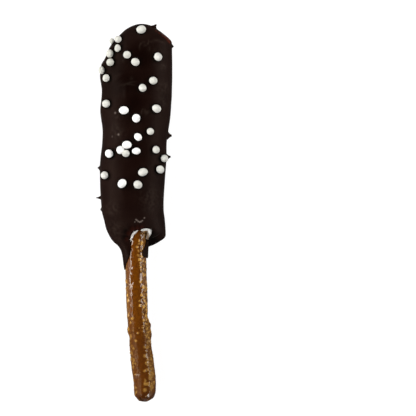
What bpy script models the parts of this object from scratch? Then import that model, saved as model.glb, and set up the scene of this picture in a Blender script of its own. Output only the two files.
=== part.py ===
"""Pretzel rod wrapped in white cream and dipped in dark chocolate, with white sugar pearls on the chocolate.

Metres, +Z up. The food lies on the flat back that it set on. +Y points to its covered tip, and the origin is
on the resting surface, under the middle of its outline. "Distance" is how far a place is down the rod from the
covered tip, and "angle" is how far it is round the rod: 0 at the right, 90 at the top, 180 at the left.
"""

import math

import bmesh
import bpy
from mathutils import Matrix, Vector

MM = 0.001

# Length and lie of the rod
TOTAL_LENGTH = 210 * MM
TIP_Y = TOTAL_LENGTH / 2
ROD_HIDDEN_END = 12 * MM
ROD_END_ROUNDING = 6.2 * MM
ROD_BARE_START = 136 * MM
ROD_BARE_FADE = 8 * MM
ROD_END_HEIGHT = 6.2 * MM
ROD_SLOPE = 0.0355

# Walls and gaps
GAP = 0.3 * MM
LIP_GAP = 0.5 * MM
TIP_WALL = 2.4 * MM
LEAST_WALL = 0.9 * MM
LEAST_CREAM = 0.4 * MM
LIP_START = 104 * MM
TIP_FADE = 6 * MM

# How much of a sugar pearl's height is sunk into the chocolate, where 1 is half of it
PEARL_SUNK = 0.35

# Tails of chocolate
TAIL_SIDES = 7
TAIL_SUNK = 1.2
TAIL_FOOT = 1.3
TAIL_POINT = 0.25

# How fine the surfaces are
ROD_LINES = 24
SHARP_EDGE = math.radians(50)
WIDTH_SEARCH_STEPS = 40
CREAM_END_STEPS = 60
CREAM_END_STEP = 0.1 * MM
ROD_END_STEP = 0.15 * MM
LANDING_STEPS = 60
LEAST_SLOPE = 0.35


def smooth_curve(places, values, to_place=float):
    """A cubic curve through the values that never overshoots one, and is level beyond both ends."""
    steps = [after - before for before, after in zip(places, places[1:])]
    slopes = [(after - before) / step for before, after, step in zip(values, values[1:], steps)]
    tangents = [slopes[0]]
    for before, after in zip(slopes, slopes[1:]):
        turns_back = before * after <= 0
        tangents.append(0.0 if turns_back else 2 * before * after / (before + after))
    tangents.append(slopes[-1])

    def value_at(where):
        place = min(max(to_place(where), places[0]), places[-1])
        i = max(k for k in range(len(steps)) if places[k] <= place)
        t = (place - places[i]) / steps[i]
        start, end = values[i], values[i + 1]
        leaving, arriving = tangents[i] * steps[i], tangents[i + 1] * steps[i]
        ease = t * t * (3 - 2 * t)
        return start + (end - start) * ease + t * (1 - t) * ((1 - t) * leaving - t * arriving)

    return value_at


def down_the_rod(*points, unit=MM):
    """A curve through (distance in millimetres, value in units) pairs, read with a distance in metres.

    It runs on the square root of the distance, so that a width that starts at nothing opens as a round end does.
    """
    places = [math.sqrt(distance * MM) for distance, _ in points]
    return smooth_curve(places, [value * unit for _, value in points], math.sqrt)


def round_the_rod(*points, unit=MM):
    """A curve through (angle in degrees, value in units) pairs, read with an angle in radians."""
    return smooth_curve([angle for angle, _ in points], [value * unit for _, value in points], math.degrees)


# The line that everything is built round: along the middle of the rod, and on to the covered tip
core_x = down_the_rod((0, 3.3), (12, 2.8), (30, 1.6), (60, 0.8), (90, 0.8), (115, 1.3), (123, 0.9), (134, 0.6),
                      (150, 1.0), (165, 1.7), (180, 3.25), (190, 4.45), (196, 5.25), (201, 5.55), (206, 5.45),
                      (210, 5.3))


def core_z(distance):
    return ROD_END_HEIGHT + (TOTAL_LENGTH - distance) * ROD_SLOPE


# The chocolate's left and right edges from above, and its top and back from the side
coat_left = down_the_rod((0, 3.3), (1.4, -2.2), (3, -5.0), (6.3, -8.7), (13, -14.0), (19, -16.5), (23, -18.7),
                         (29, -19.3), (37, -18.2), (47, -19.3), (60, -17.9), (68, -18.3), (81, -19.5),
                         (100, -18.8), (104.5, -18.4), (109, -17.2), (114, -15.9), (117.3, -14.4),
                         (119.5, -13.1), (121.4, -11.5), (122.8, -9.8), (124.4, -8.5), (127, -7.4),
                         (131, -6.8), (134, -6.5), (138, -5.6))
coat_right = down_the_rod((0, 3.3), (1.4, 10.0), (3, 12.6), (6.3, 17.1), (8.4, 19.4), (10, 20.6), (12, 20.75),
                          (36, 20.8), (47, 20.1), (60, 18.5), (65, 17.9), (78, 17.4), (88, 16.7), (97, 16.2),
                          (103, 16.1), (109, 16.7), (114, 17.0), (117.3, 17.1), (118.6, 16.7), (119.6, 15.8),
                          (120.7, 14.2), (121.8, 12.4), (122.9, 10.2), (124, 7.9), (125.5, 7.6), (129, 7.5),
                          (138, 7.0))
coat_top = down_the_rod((0, 13.7), (1.4, 17.2), (3, 19.5), (6.3, 22.2), (10, 24.1), (16, 25.7), (26, 26.9),
                        (46, 27.5), (86, 27.0), (100, 25.7), (107, 23.6), (111, 21.4), (114.5, 19.4),
                        (118, 17.6), (121, 16.6), (124, 16.1), (138, 15.5))
coat_back = down_the_rod((0, 13.7), (1.4, 8.4), (3, 5.4), (6.3, 2.3), (10, 0.4), (16, -1.1), (26, -1.6),
                         (96, -1.6), (104, -1.2), (109, -0.3), (114, 0.8), (119, 2.0), (124, 2.5), (138, 2.2))

# How much lower the chocolate's top is at the right of the open front, where its end falls away steeply
lobe_fall = down_the_rod((109, 0), (112, 0.4), (115, 1.6), (118, 5.0), (121, 6.2), (138, 6.2))
lobe_share = round_the_rod((-90, 1), (10, 1), (24, 0.45), (36, 0.3), (50, 0.25), (74, 0), (180, 0), (270, 1),
                           unit=1)

# 2 is a round section, and more is squarer
coat_squareness = down_the_rod((0, 2.2), (10, 2.4), (100, 2.4), (124, 2.0), unit=1)
coat_wall = down_the_rod((2.4, 0), (6, 0.8), (12, 1.6), (22, 2.2), (105, 2.2), (113, 1.7), (122, 1.2), (138, 0.9))

# How far down the rod the chocolate and the cream reach: high in front, with a drip down each side
chocolate_rim = round_the_rod((-90, 128.5), (-40, 129.4), (-10, 130.2), (12, 129.9), (17.5, 128.7), (19, 124),
                              (20, 121), (24, 119.8), (31, 119.3), (35, 118.2), (38, 116.2), (42, 114.6),
                              (48, 113.9), (56, 113.6),
                              (72, 113.9), (80, 114.9), (86, 114.6), (101, 115.1), (112, 116.9), (119, 118.5),
                              (121.2, 119.8), (121.7, 121.5), (122, 124.5), (122.4, 127), (123.8, 128.4),
                              (129, 129.4), (136, 130.5), (145, 132), (160, 134), (176, 136.8), (190, 136.4),
                              (270, 128.5))
cream_rim = round_the_rod((-90, 112), (-40, 118), (-15, 120.5), (10, 120.5), (24, 120), (34, 119.6), (38, 118.4),
                          (41, 116.6), (45, 115.2), (52, 115.0), (66, 115.1), (72, 114.8), (76, 113.8),
                          (82, 114.2), (86, 115.2), (94, 116.2), (102, 116.9), (110, 118.1), (116, 120.1),
                          (124, 121.2), (180, 118), (270, 112))

# The blunt tongue that turns in over the open front from the right drip: how many degrees round the rod it reaches
tongue_edge = down_the_rod((118.5, 14), (119.5, 20), (120.6, 30.5), (122.7, 32.5), (124.7, 47), (126.2, 53.5),
                           (128.6, 53), (129.6, 38), unit=1)
TONGUE_START = 119.5 * MM
TONGUE_END = 129.6 * MM
TONGUE_FOOT = 2
TONGUE_LIFT = 0.1 * MM
TONGUE_WALL = 0.7 * MM
TONGUE_ROWS = 7
TONGUE_LINES = 5

# How far the cream draws back from the rod beside the open front, from 0 to 1, and how thick it is there
cream_hollow = round_the_rod((-90, 0), (14, 0), (28, 0.45), (40, 1), (84, 1), (96, 0), (270, 0), unit=1)
HOLLOW_START = 106 * MM
HOLLOW_DEPTH = 6 * MM
HOLLOW_WALL = 1.1 * MM

# Stretches of angle as (start, stop, lines), closer together at the two sides of the open front
LINE_STRETCHES = ((-90, 5, 10), (5, 17, 3), (17, 26, 5), (26, 52, 6), (52, 112, 5), (112, 122, 3), (122, 130, 5),
                  (130, 270, 13))

# Rows along the lip, as shares of it. Those up to the fork's share end above the place where the drips part, and
# the others run on to the rim
LIP_ROWS = (0.2, 0.35, 0.45, 0.53, 0.6, 0.7, 0.8, 0.9, 1.0)
CREAM_LIP_ROWS = (0.25, 0.5, 0.75, 1.0)
FORK_SHARE = 0.6
DRIP_FORK = 119.2 * MM
LEAST_RUN = 0.3 * MM

# The rod's radius, its lumps as (distance, angle, height, half length, half width in degrees), and its waves
# as (turns round it, length along it, height, phase)
rod_radius = down_the_rod((12, 5.7), (126, 5.7), (140, 5.9), (151, 5.95), (160, 5.85), (180, 6.05), (190, 6.4),
                          (196, 6.35), (202, 6.1), (210, 6.0))
LUMPS = ((162, 5, -0.4, 1.8, 40), (167.6, 6, 1.1, 2.2, 34), (172.5, 4, 1.15, 2.7, 36), (166, 60, 0.5, 5, 30),
         (170.8, 178, 0.45, 1.7, 28), (174.4, 178, -0.45, 1.8, 30))
WAVES = ((2, 31, 0.10, 0.4), (3, 19, 0.07, 1.9), (1, 47, 0.12, 3.1))

# Handfuls of sugar pearls, as (x, y) in millimetres, where each pearl shows from above, its half length and half
# width in millimetres, and how many degrees it is turned
PEARLS = {
    "tip": ((3.6, 101.8, 2.65, 2.25, 10), (-4.2, 87.7, 2.1, 2.05, 0), (0.4, 83.7, 2.35, 2.15, -31),
            (13.0, 86.6, 2.4, 2.15, -61), (10.3, 73.4, 2.25, 2.1, -20), (4.4, 69.3, 2.2, 2.05, -68)),
    "left shoulder": ((-9.3, 96.4, 1.95, 1.9, 0), (-12.7, 95.5, 1.6, 1.35, 90), (-9.5, 91.4, 2.1, 1.7, 90),
                      (-13.9, 88.4, 2.35, 2.0, 90), (-13.6, 83.6, 2.1, 2.05, 0), (-18.4, 79.2, 2.2, 1.65, 90),
                      (-15.9, 74.8, 2.15, 1.9, 90)),
    "upper face": ((-15.9, 60.6, 2.2, 2.15, 0), (-6.0, 56.9, 2.7, 2.2, 0), (12.2, 57.9, 2.5, 2.15, -34),
                   (0.9, 52.5, 2.35, 2.2, -75), (8.7, 45.2, 1.95, 1.9, 0), (1.9, 42.1, 2.35, 1.9, -48)),
    "middle": ((-4.3, 37.8, 2.6, 2.2, 0), (-7.9, 34.9, 2.2, 2.2, 0), (-4.9, 33.0, 2.05, 2.0, 0),
               (0.9, 34.3, 2.35, 1.85, 0), (-14.2, 32.9, 2.3, 2.2, -58)),
    "right edge": ((11.9, 35.1, 2.1, 1.95, -67), (16.4, 30.2, 2.15, 2.1, 0), (14.2, 24.1, 2.3, 2.1, -40)),
    "lower face": ((4.6, 22.6, 2.65, 2.15, 16), (-16.8, 20.9, 2.1, 2.1, 0), (-7.0, 16.3, 2.6, 2.2, 53),
                   (1.8, 15.7, 2.45, 2.2, -34)),
}

# Tails of chocolate pulled out of the edges, as (angle, distance, length, half width) in millimetres
TAILS = ((8, 1.8, 2.0, 1.5), (-4, 12.4, 0.9, 1.1), (-6, 62, 2.4, 2.0), (-8, 74, 2.4, 1.6),
         (186, 80, 1.3, 1.2), (184, 96.5, 2.6, 1.0), (187, 103, 0.8, 1.1))


def coat_outside(angle, distance):
    """From the core to the outside of the chocolate: a soft square, cut flat where it set on its back."""
    left, right = coat_left(distance), coat_right(distance)
    middle = core_z(distance)
    top = coat_top(distance) - lobe_fall(distance) * lobe_share(angle)
    height = top - middle if math.sin(angle) > 0 else middle - coat_back(distance)
    half_width = max((right - left) / 2, 1e-9)
    half_height = max(height, 1e-9)
    off_centre = core_x(distance) - (right + left) / 2
    power = coat_squareness(distance)
    inner, outer = 0.0, 2 * (half_width + half_height)
    for _ in range(WIDTH_SEARCH_STEPS):
        radius = (inner + outer) / 2
        across = abs(off_centre + radius * math.cos(angle)) / half_width
        upward = abs(radius * math.sin(angle)) / half_height
        if across ** power + upward ** power < 1:
            inner = radius
        else:
            outer = radius
    if math.sin(angle) < 0:
        inner = min(inner, middle / -math.sin(angle))
    if distance > LIP_START:
        inner = max(inner, rod_radius(distance) + GAP + LEAST_WALL)
    return inner


def tip_share(distance):
    """1 at the tip, where a wall is measured along the rod, falling to 0 where the lip starts."""
    return max(0.0, 1 - distance / LIP_START)


def coat_inside(angle, distance):
    """The chocolate's inner face. It follows the outside, and closes on the rod below the cream."""
    radius = coat_outside(angle, distance - TIP_WALL * tip_share(distance)) - coat_wall(distance)
    if distance > ROD_HIDDEN_END:
        radius = max(radius, rod_radius(distance) + GAP)
    return radius


def cream_outside(angle, distance):
    gap = GAP if distance < LIP_START else LIP_GAP
    radius = coat_inside(angle, distance - GAP * tip_share(distance))
    return radius - gap * min(1, distance / TIP_FADE)


def cream_inside(angle, distance):
    """The bore round the rod, which opens into a hollow at the right of the open front."""
    bore = rod_radius(distance) + GAP
    depth = min(max((distance - HOLLOW_START) / HOLLOW_DEPTH, 0), 1)
    lining = cream_outside(angle, distance) - HOLLOW_WALL
    return bore + max(0.0, lining - bore) * cream_hollow(angle) * depth * depth * (3 - 2 * depth)


def cream_end(angle):
    """Where the cream ends: at its rim, or sooner where the chocolate closes on the rod."""
    end = cream_rim(angle)
    for _ in range(CREAM_END_STEPS):
        if cream_outside(angle, end) - cream_inside(angle, end) < LEAST_CREAM:
            end -= CREAM_END_STEP
    return end


def rod_outside(angle, distance):
    """The baked rod: rounded at both ends, and wavy and lumpy where it is bare."""
    radius = rod_radius(distance)
    to_bare_end = TOTAL_LENGTH - distance
    to_end = min(distance - ROD_HIDDEN_END, to_bare_end)
    if to_end < ROD_END_ROUNDING:
        radius *= math.sqrt(max(0.0, 1 - (1 - to_end / ROD_END_ROUNDING) ** 2))
    bareness = min(1.0, max(0.0, (distance - ROD_BARE_START) / ROD_BARE_FADE), to_bare_end / ROD_END_ROUNDING)
    relief = 0.0
    for turns, length, height, phase in WAVES:
        relief += height * math.sin(turns * angle + phase) * math.cos(math.tau * distance / length / MM + phase)
    for place, degrees, height, half_length, half_width in LUMPS:
        along = (distance / MM - place) / half_length
        turn = math.degrees(math.remainder(angle - math.radians(degrees), math.tau)) / half_width
        relief += height * math.exp(-along * along - turn * turn)
    return radius + relief * MM * max(0.0, bareness)


def point_at(angle, distance, radius):
    return Vector((core_x(distance) + radius * math.cos(angle),
                   TIP_Y - distance,
                   core_z(distance) + radius * math.sin(angle)))


def coat_point(angle, distance):
    return point_at(angle, distance, coat_outside(angle, distance))


def coat_normal(angle, distance):
    """The way out of the chocolate's surface."""
    turn, step = 0.02, 0.2 * MM
    distance = max(distance, 2 * step)
    round_it = coat_point(angle + turn, distance) - coat_point(angle - turn, distance)
    along_it = coat_point(angle, distance + step) - coat_point(angle, distance - step)
    return round_it.cross(along_it).normalized()


def spaced(start, stop, count):
    return [start + (stop - start) * k / count for k in range(1, count + 1)]


def spaced_for_round_end(start, stop, count):
    """Distances that start close together."""
    return [start + (stop - start) * (k / count) ** 2 for k in range(1, count + 1)]


def line_angles():
    """The angles of the lines that run along the chocolate and the cream."""
    return [math.radians(start + (stop - start) * k / lines)
            for start, stop, lines in LINE_STRETCHES for k in range(lines)]


def add_ring(mesh, angles, distance_at, radius_at):
    """A ring of vertices. Its distance may differ from angle to angle."""
    ring = []
    for angle in angles:
        distance = distance_at(angle)
        ring.append(mesh.verts.new(point_at(angle, distance, radius_at(angle, distance))))
    return ring


def level(distance):
    return lambda angle: distance


def join_rings(mesh, rings):
    """Faces from each ring to the next."""
    count = len(rings[0])
    for upper, lower in zip(rings, rings[1:]):
        for k in range(count):
            after = (k + 1) % count
            mesh.faces.new((upper[k], lower[k], lower[after], upper[after]))


def cover_rings(mesh, rings, first_end, last_end):
    """Faces from a point on the core at the first distance, over all rings, to one at the last distance."""
    count = len(rings[0])
    following = [(k + 1) % count for k in range(count)]
    first_pole, last_pole = (mesh.verts.new(point_at(0, end, 0)) for end in (first_end, last_end))
    for k in range(count):
        mesh.faces.new((first_pole, rings[0][k], rings[0][following[k]]))
        mesh.faces.new((last_pole, rings[-1][following[k]], rings[-1][k]))
    join_rings(mesh, rings)


def to_object(mesh, name):
    bmesh.ops.triangulate(mesh, faces=mesh.faces[:])
    bmesh.ops.recalc_face_normals(mesh, faces=mesh.faces[:])
    data = bpy.data.meshes.new(name)
    mesh.to_mesh(data)
    mesh.free()
    return bpy.data.objects.new(name, data)


def show(part, material):
    """Puts a part in the scene, shaded smooth."""
    part.data.materials.append(material)
    part.data.shade_smooth()
    part.data.set_sharp_from_angle(angle=SHARP_EDGE)
    bpy.context.scene.collection.objects.link(part)
    return part


def lip_place(rim, share):
    """The distance of a row on the lip whose rim is so far down the rod."""
    fork = min(rim - LEAST_RUN, DRIP_FORK)
    if share <= FORK_SHARE:
        return LIP_START + (fork - LIP_START) * share / FORK_SHARE
    return fork + (rim - fork) * (share - FORK_SHARE) / (1 - FORK_SHARE)


def make_sleeve(name, outside, inside, rim, outer_rows, inner_rows, lip_rows, tip, inner_tip):
    """A sleeve that is shut at the tip: down its outside, over the rim, and back up its inside."""
    mesh = bmesh.new()
    angles = line_angles()

    def on_lip(share):
        return lambda angle: lip_place(rim(angle), share)

    rings = [add_ring(mesh, angles, level(distance), outside) for distance in outer_rows]
    rings += [add_ring(mesh, angles, on_lip(share), outside) for share in lip_rows]
    rings += [add_ring(mesh, angles, on_lip(share), inside) for share in reversed(lip_rows)]
    rings += [add_ring(mesh, angles, level(distance), inside) for distance in reversed(inner_rows)]
    cover_rings(mesh, rings, tip, inner_tip)
    return to_object(mesh, name)


def make_chocolate():
    outer_rows = spaced_for_round_end(0, 18 * MM, 7) + spaced(18 * MM, LIP_START, 14)
    inner_rows = spaced_for_round_end(TIP_WALL, 20 * MM, 5) + spaced(20 * MM, LIP_START, 5)
    return make_sleeve("chocolate_coating", coat_outside, coat_inside, chocolate_rim,
                       outer_rows, inner_rows, LIP_ROWS, 0, TIP_WALL)


def make_cream():
    tip = TIP_WALL + 2 * GAP
    bore_end = ROD_HIDDEN_END - GAP
    outer_rows = spaced_for_round_end(tip, 20 * MM, 5) + spaced(20 * MM, LIP_START, 5)
    inner_rows = [bore_end + GAP] + spaced(bore_end, LIP_START, 3)
    return make_sleeve("white_cream", cream_outside, cream_inside, cream_end,
                       outer_rows, inner_rows, CREAM_LIP_ROWS, tip, bore_end)


def make_rod():
    """The whole rod, from its end inside the cream to its bare end."""
    mesh = bmesh.new()
    angles = [math.tau * k / ROD_LINES for k in range(ROD_LINES)]
    end_steps = [ROD_END_STEP] + spaced_for_round_end(0, ROD_END_ROUNDING, 4)[:-1]
    bare_rounding = [TOTAL_LENGTH - step for step in end_steps]
    rows = spaced_for_round_end(ROD_HIDDEN_END, ROD_HIDDEN_END + ROD_END_ROUNDING, 3)
    rows += spaced(ROD_HIDDEN_END + ROD_END_ROUNDING, ROD_BARE_START - ROD_BARE_FADE, 9)
    rows += spaced(ROD_BARE_START - ROD_BARE_FADE, TOTAL_LENGTH - ROD_END_ROUNDING, 32)
    rows += reversed(bare_rounding)
    rings = [add_ring(mesh, angles, level(distance), rod_outside) for distance in rows]
    cover_rings(mesh, rings, ROD_HIDDEN_END, TOTAL_LENGTH)
    return to_object(mesh, "pretzel_rod")


def landing_spot(x, y, height):
    """The (angle, distance) from which something that stands so high off the chocolate shows at x, y."""
    distance = TIP_Y - y
    angle = math.pi / 2
    for _ in range(LANDING_STEPS):
        shown = coat_point(angle, distance) + coat_normal(angle, distance) * height
        sideways = coat_outside(angle, distance) * max(LEAST_SLOPE, math.sin(angle))
        angle += (shown.x - x) / sideways / 2
        angle = min(max(angle, math.radians(-5)), math.radians(185))
        distance = max(0.5 * MM, distance + (shown.y - y) / 2)
    return angle, distance


def make_pearl(x, y, half_length, half_width, degrees):
    """One sugar pearl, out of round, sunk part way into the chocolate."""
    half_height = (half_length + half_width) / 2
    height = half_height * (1 - PEARL_SUNK) * MM
    angle, distance = landing_spot(x * MM, y * MM, height)
    turn = Matrix.Rotation(math.radians(degrees), 3, "Z")
    mesh = bmesh.new()
    bmesh.ops.create_icosphere(mesh, subdivisions=2, radius=MM)
    bmesh.ops.scale(mesh, vec=(half_length, half_width, half_height), verts=mesh.verts)
    bmesh.ops.rotate(mesh, cent=(0, 0, 0), matrix=turn, verts=mesh.verts)
    middle = coat_point(angle, distance) + coat_normal(angle, distance) * height
    bmesh.ops.translate(mesh, vec=middle, verts=mesh.verts)
    return to_object(mesh, "pearl")


def make_tongue():
    """The tongue of the right drip, a bent strip that lies just clear of the rod."""
    mesh = bmesh.new()
    rings = []
    for distance in spaced(TONGUE_START, TONGUE_END, TONGUE_ROWS):
        reach = tongue_edge(distance) - TONGUE_FOOT
        angles = [math.radians(TONGUE_FOOT + reach * k / TONGUE_LINES) for k in range(TONGUE_LINES + 1)]
        bottom = rod_radius(distance) + GAP + TONGUE_LIFT
        places = [point_at(angle, distance, bottom + TONGUE_WALL) for angle in angles]
        places += [point_at(angle, distance, bottom) for angle in reversed(angles)]
        rings.append([mesh.verts.new(place) for place in places])
    join_rings(mesh, rings)
    for end in rings[0], rings[-1]:
        for k in range(TONGUE_LINES):
            mesh.faces.new((end[k], end[k + 1], end[-2 - k], end[-1 - k]))
    return to_object(mesh, "tongue")


def make_tail(degrees, distance, length, half_width):
    """A short blunt peak of chocolate that stands straight out of the surface."""
    angle, distance = math.radians(degrees), distance * MM
    way_out = coat_normal(angle, distance)
    mesh = bmesh.new()
    bmesh.ops.create_cone(mesh, cap_ends=True, segments=TAIL_SIDES, depth=(length + TAIL_SUNK) * MM,
                          radius1=half_width * TAIL_FOOT * MM, radius2=half_width * TAIL_POINT * MM)
    upright = way_out.to_track_quat("Z", "Y").to_matrix()
    bmesh.ops.rotate(mesh, cent=(0, 0, 0), matrix=upright, verts=mesh.verts)
    middle = coat_point(angle, distance) + way_out * (length - TAIL_SUNK) / 2 * MM
    bmesh.ops.translate(mesh, vec=middle, verts=mesh.verts)
    return to_object(mesh, "tail")


def fuse(coating, toppings):
    """Joins the toppings to the coating as one solid."""
    heap = bpy.data.collections.new("toppings")
    bpy.context.scene.collection.children.link(heap)
    for topping in toppings:
        heap.objects.link(topping)
    union = coating.modifiers.new("toppings", "BOOLEAN")
    union.operation = "UNION"
    union.operand_type = "COLLECTION"
    union.collection = heap
    union.solver = "EXACT"
    bpy.context.view_layer.objects.active = coating
    bpy.ops.object.modifier_apply(modifier=union.name)
    for topping in toppings:
        bpy.data.objects.remove(topping)
    bpy.data.collections.remove(heap)


def make_material(name, colour, roughness):
    material = bpy.data.materials.new(name)
    material.use_nodes = True
    shader = material.node_tree.nodes["Principled BSDF"]
    shader.inputs["Base Color"].default_value = (*colour, 1)
    shader.inputs["Roughness"].default_value = roughness
    shader.inputs["Metallic"].default_value = 0
    return material


def main():
    for leftover in list(bpy.data.objects):
        bpy.data.objects.remove(leftover)
    show(make_rod(), make_material("pretzel_crust", (0.18, 0.065, 0.012), 0.3))
    show(make_cream(), make_material("white_cream", (0.86, 0.85, 0.82), 0.6))
    coating = show(make_chocolate(), make_material("dark_chocolate", (0.019, 0.010, 0.008), 0.35))
    pearls = [make_pearl(*pearl) for handful in PEARLS.values() for pearl in handful]
    fuse(coating, pearls + [make_tongue()] + [make_tail(*tail) for tail in TAILS])


main()
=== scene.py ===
"""Dresses a pretzel rod dipped in dark chocolate: its chocolate, sugar pearls, white cream and baked rod.

Metres, +Z up. The food lies on its flat back. +Y points to its covered tip. "Distance" is how far a place is
down the rod from the covered tip, and "angle" is how far it is round the rod: 0 at the right, 90 at the top,
180 at the left. The curves that set the outlines are the same as in the solids. The drips and the tongue lie
closer to the rod here, and the cream swells a little at the left of the open front.
"""

import math
import random

import bmesh
import bpy
import numpy as np
from bpy.props import FloatProperty, FloatVectorProperty, PointerProperty
from bpy.types import Operator, Panel, PropertyGroup
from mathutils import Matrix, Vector, noise


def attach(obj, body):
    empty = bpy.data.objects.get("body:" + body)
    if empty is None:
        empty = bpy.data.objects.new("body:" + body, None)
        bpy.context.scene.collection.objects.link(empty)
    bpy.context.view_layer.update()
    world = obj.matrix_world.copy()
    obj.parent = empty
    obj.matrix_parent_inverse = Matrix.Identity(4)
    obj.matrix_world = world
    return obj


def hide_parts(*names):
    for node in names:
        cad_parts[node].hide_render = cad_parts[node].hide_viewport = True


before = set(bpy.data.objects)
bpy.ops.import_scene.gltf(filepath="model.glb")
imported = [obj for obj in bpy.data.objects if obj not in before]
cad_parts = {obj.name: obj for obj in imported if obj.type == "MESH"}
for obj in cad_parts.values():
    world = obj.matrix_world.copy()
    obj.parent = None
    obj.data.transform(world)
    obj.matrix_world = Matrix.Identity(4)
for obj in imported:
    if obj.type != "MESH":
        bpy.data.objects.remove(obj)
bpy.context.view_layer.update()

bl_info = {
    "name": "Dipped Pretzel Rod",
    "version": (1, 0, 0),
    "blender": (4, 5, 0),
    "location": "3D View > Sidebar > Dipped Pretzel",
    "description": "Makes a pretzel rod in white cream and dark chocolate, scattered with sugar pearls",
    "category": "Add Mesh",
}

MM = 0.001
SEED = 7

# Limits that keep a division from failing
TINY = 1e-9
LEAST_CROSS = 1e-12

# Length and lie of the rod
TOTAL_LENGTH = 210 * MM
TIP_Y = TOTAL_LENGTH / 2
ROD_HIDDEN_END = 12 * MM
ROD_END_ROUNDING = 6.2 * MM
ROD_BARE_START = 136 * MM
ROD_BARE_FADE = 8 * MM
ROD_END_HEIGHT = 6.2 * MM
ROD_SLOPE = 0.0355

# Walls and gaps
GAP = 0.3 * MM
LIP_GAP = 0.5 * MM
TIP_WALL = 2.4 * MM
LEAST_WALL = 0.9 * MM
LEAST_CREAM = 0.4 * MM
LIP_START = 104 * MM
TIP_FADE = 6 * MM
FORK_SHARE = 0.6
DRIP_FORK = 119.2 * MM
LEAST_RUN = 0.3 * MM

# How far off the rod the way to an edge is measured, and what counts as far from it
SURFACE_HEIGHT = 2 * MM
FAR_FROM_EDGE = 5 * MM

# The thin drips of chocolate that lie on the rod, and how high up in a wall the middle of its rounded edge is
DRIP_START = 117 * MM
DRIP_RUN = 3 * MM
DRIP_GAP = 0.06 * MM
DRIP_WALL = 0.45 * MM
DRIP_TAPER = 4 * MM
TONGUE_FORK = 123 * MM
TONGUE_RUN = 2.5 * MM
TONGUE_SIDE = 1.5
TONGUE_WALL = 1.0 * MM
WALL_MIDDLE = 0.4

# How much of a pearl is sunk, and how its place is found: steps, the flattest slope, and how far round and up
PEARL_SUNK = 0.35
LANDING_STEPS = 60
LEAST_SLOPE = 0.35
LANDING_ANGLES = (math.radians(-5), math.radians(185))
LANDING_TIP = 0.5 * MM

# Steps of the searches for the chocolate's width and the cream's end
WIDTH_SEARCH_STEPS = 40
CREAM_END_STEPS = 60
CREAM_END_STEP = 0.1 * MM

# Rows at the tip, down the body and along the lip, and where those at the tip end
CHOCOLATE_ROWS = (28, 165, 100)
CHOCOLATE_BACK_ROWS = (8, 12, 40)
CREAM_ROWS = (8, 12, 50)
TIP_END = 18 * MM
BACK_TIP_END = 20 * MM
LIP_CROWDING = 1.6

# Rows along the cream's bore and its lip, rows along the rod from its hidden end, and lines round it
CREAM_BORE_ROWS = (6, 20)
ROD_ROWS = (6, 12, 400, 24)
ROD_LINES = 210

# What every length and every colour that can be set has in common
LENGTH = {"unit": "LENGTH", "precision": 5}
COLOUR = {"subtype": "COLOR", "min": 0, "max": 1}


class PretzelSizes(PropertyGroup):
    """Sizes that change how rough or smooth the food looks."""

    pearl_dent: FloatProperty(
        name="Pearl dents", description="How deep the soft dents in a sugar pearl are",
        default=0.1 * MM, min=0, max=0.3 * MM, **LENGTH)
    mound_height: FloatProperty(
        name="Mound height", description="How far the chocolate climbs round each pearl",
        default=0.15 * MM, min=0, max=1 * MM, **LENGTH)
    mound_width: FloatProperty(
        name="Mound width", description="How wide the chocolate's mound round each pearl is",
        default=0.5 * MM, min=0.3 * MM, max=2 * MM, **LENGTH)
    # The ring round each pearl is a painted shadow, darker and duller.
    shadow_ring_width: FloatProperty(
        name="Ring width", description="How wide the darker, duller ring round each pearl is",
        default=0.9 * MM, min=0.2 * MM, max=2 * MM, **LENGTH)
    ripple_height: FloatProperty(
        name="Ripple height", description="How high the set chocolate ripples",
        default=0.22 * MM, min=0, max=0.6 * MM, **LENGTH)
    lip_roundness: FloatProperty(
        name="Lip roundness", description="How far back the chocolate's edge starts to round off",
        default=0.9 * MM, min=0.3 * MM, max=2 * MM, **LENGTH)
    granule_height: FloatProperty(
        name="Granule height", description="How high the crust's granules stand",
        default=0.42 * MM, min=0, max=0.6 * MM, **LENGTH)
    granule_size: FloatProperty(
        name="Granule size", description="How wide the crust's larger granules are",
        default=2.3 * MM, min=0.6 * MM, max=3 * MM, **LENGTH)


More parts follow.
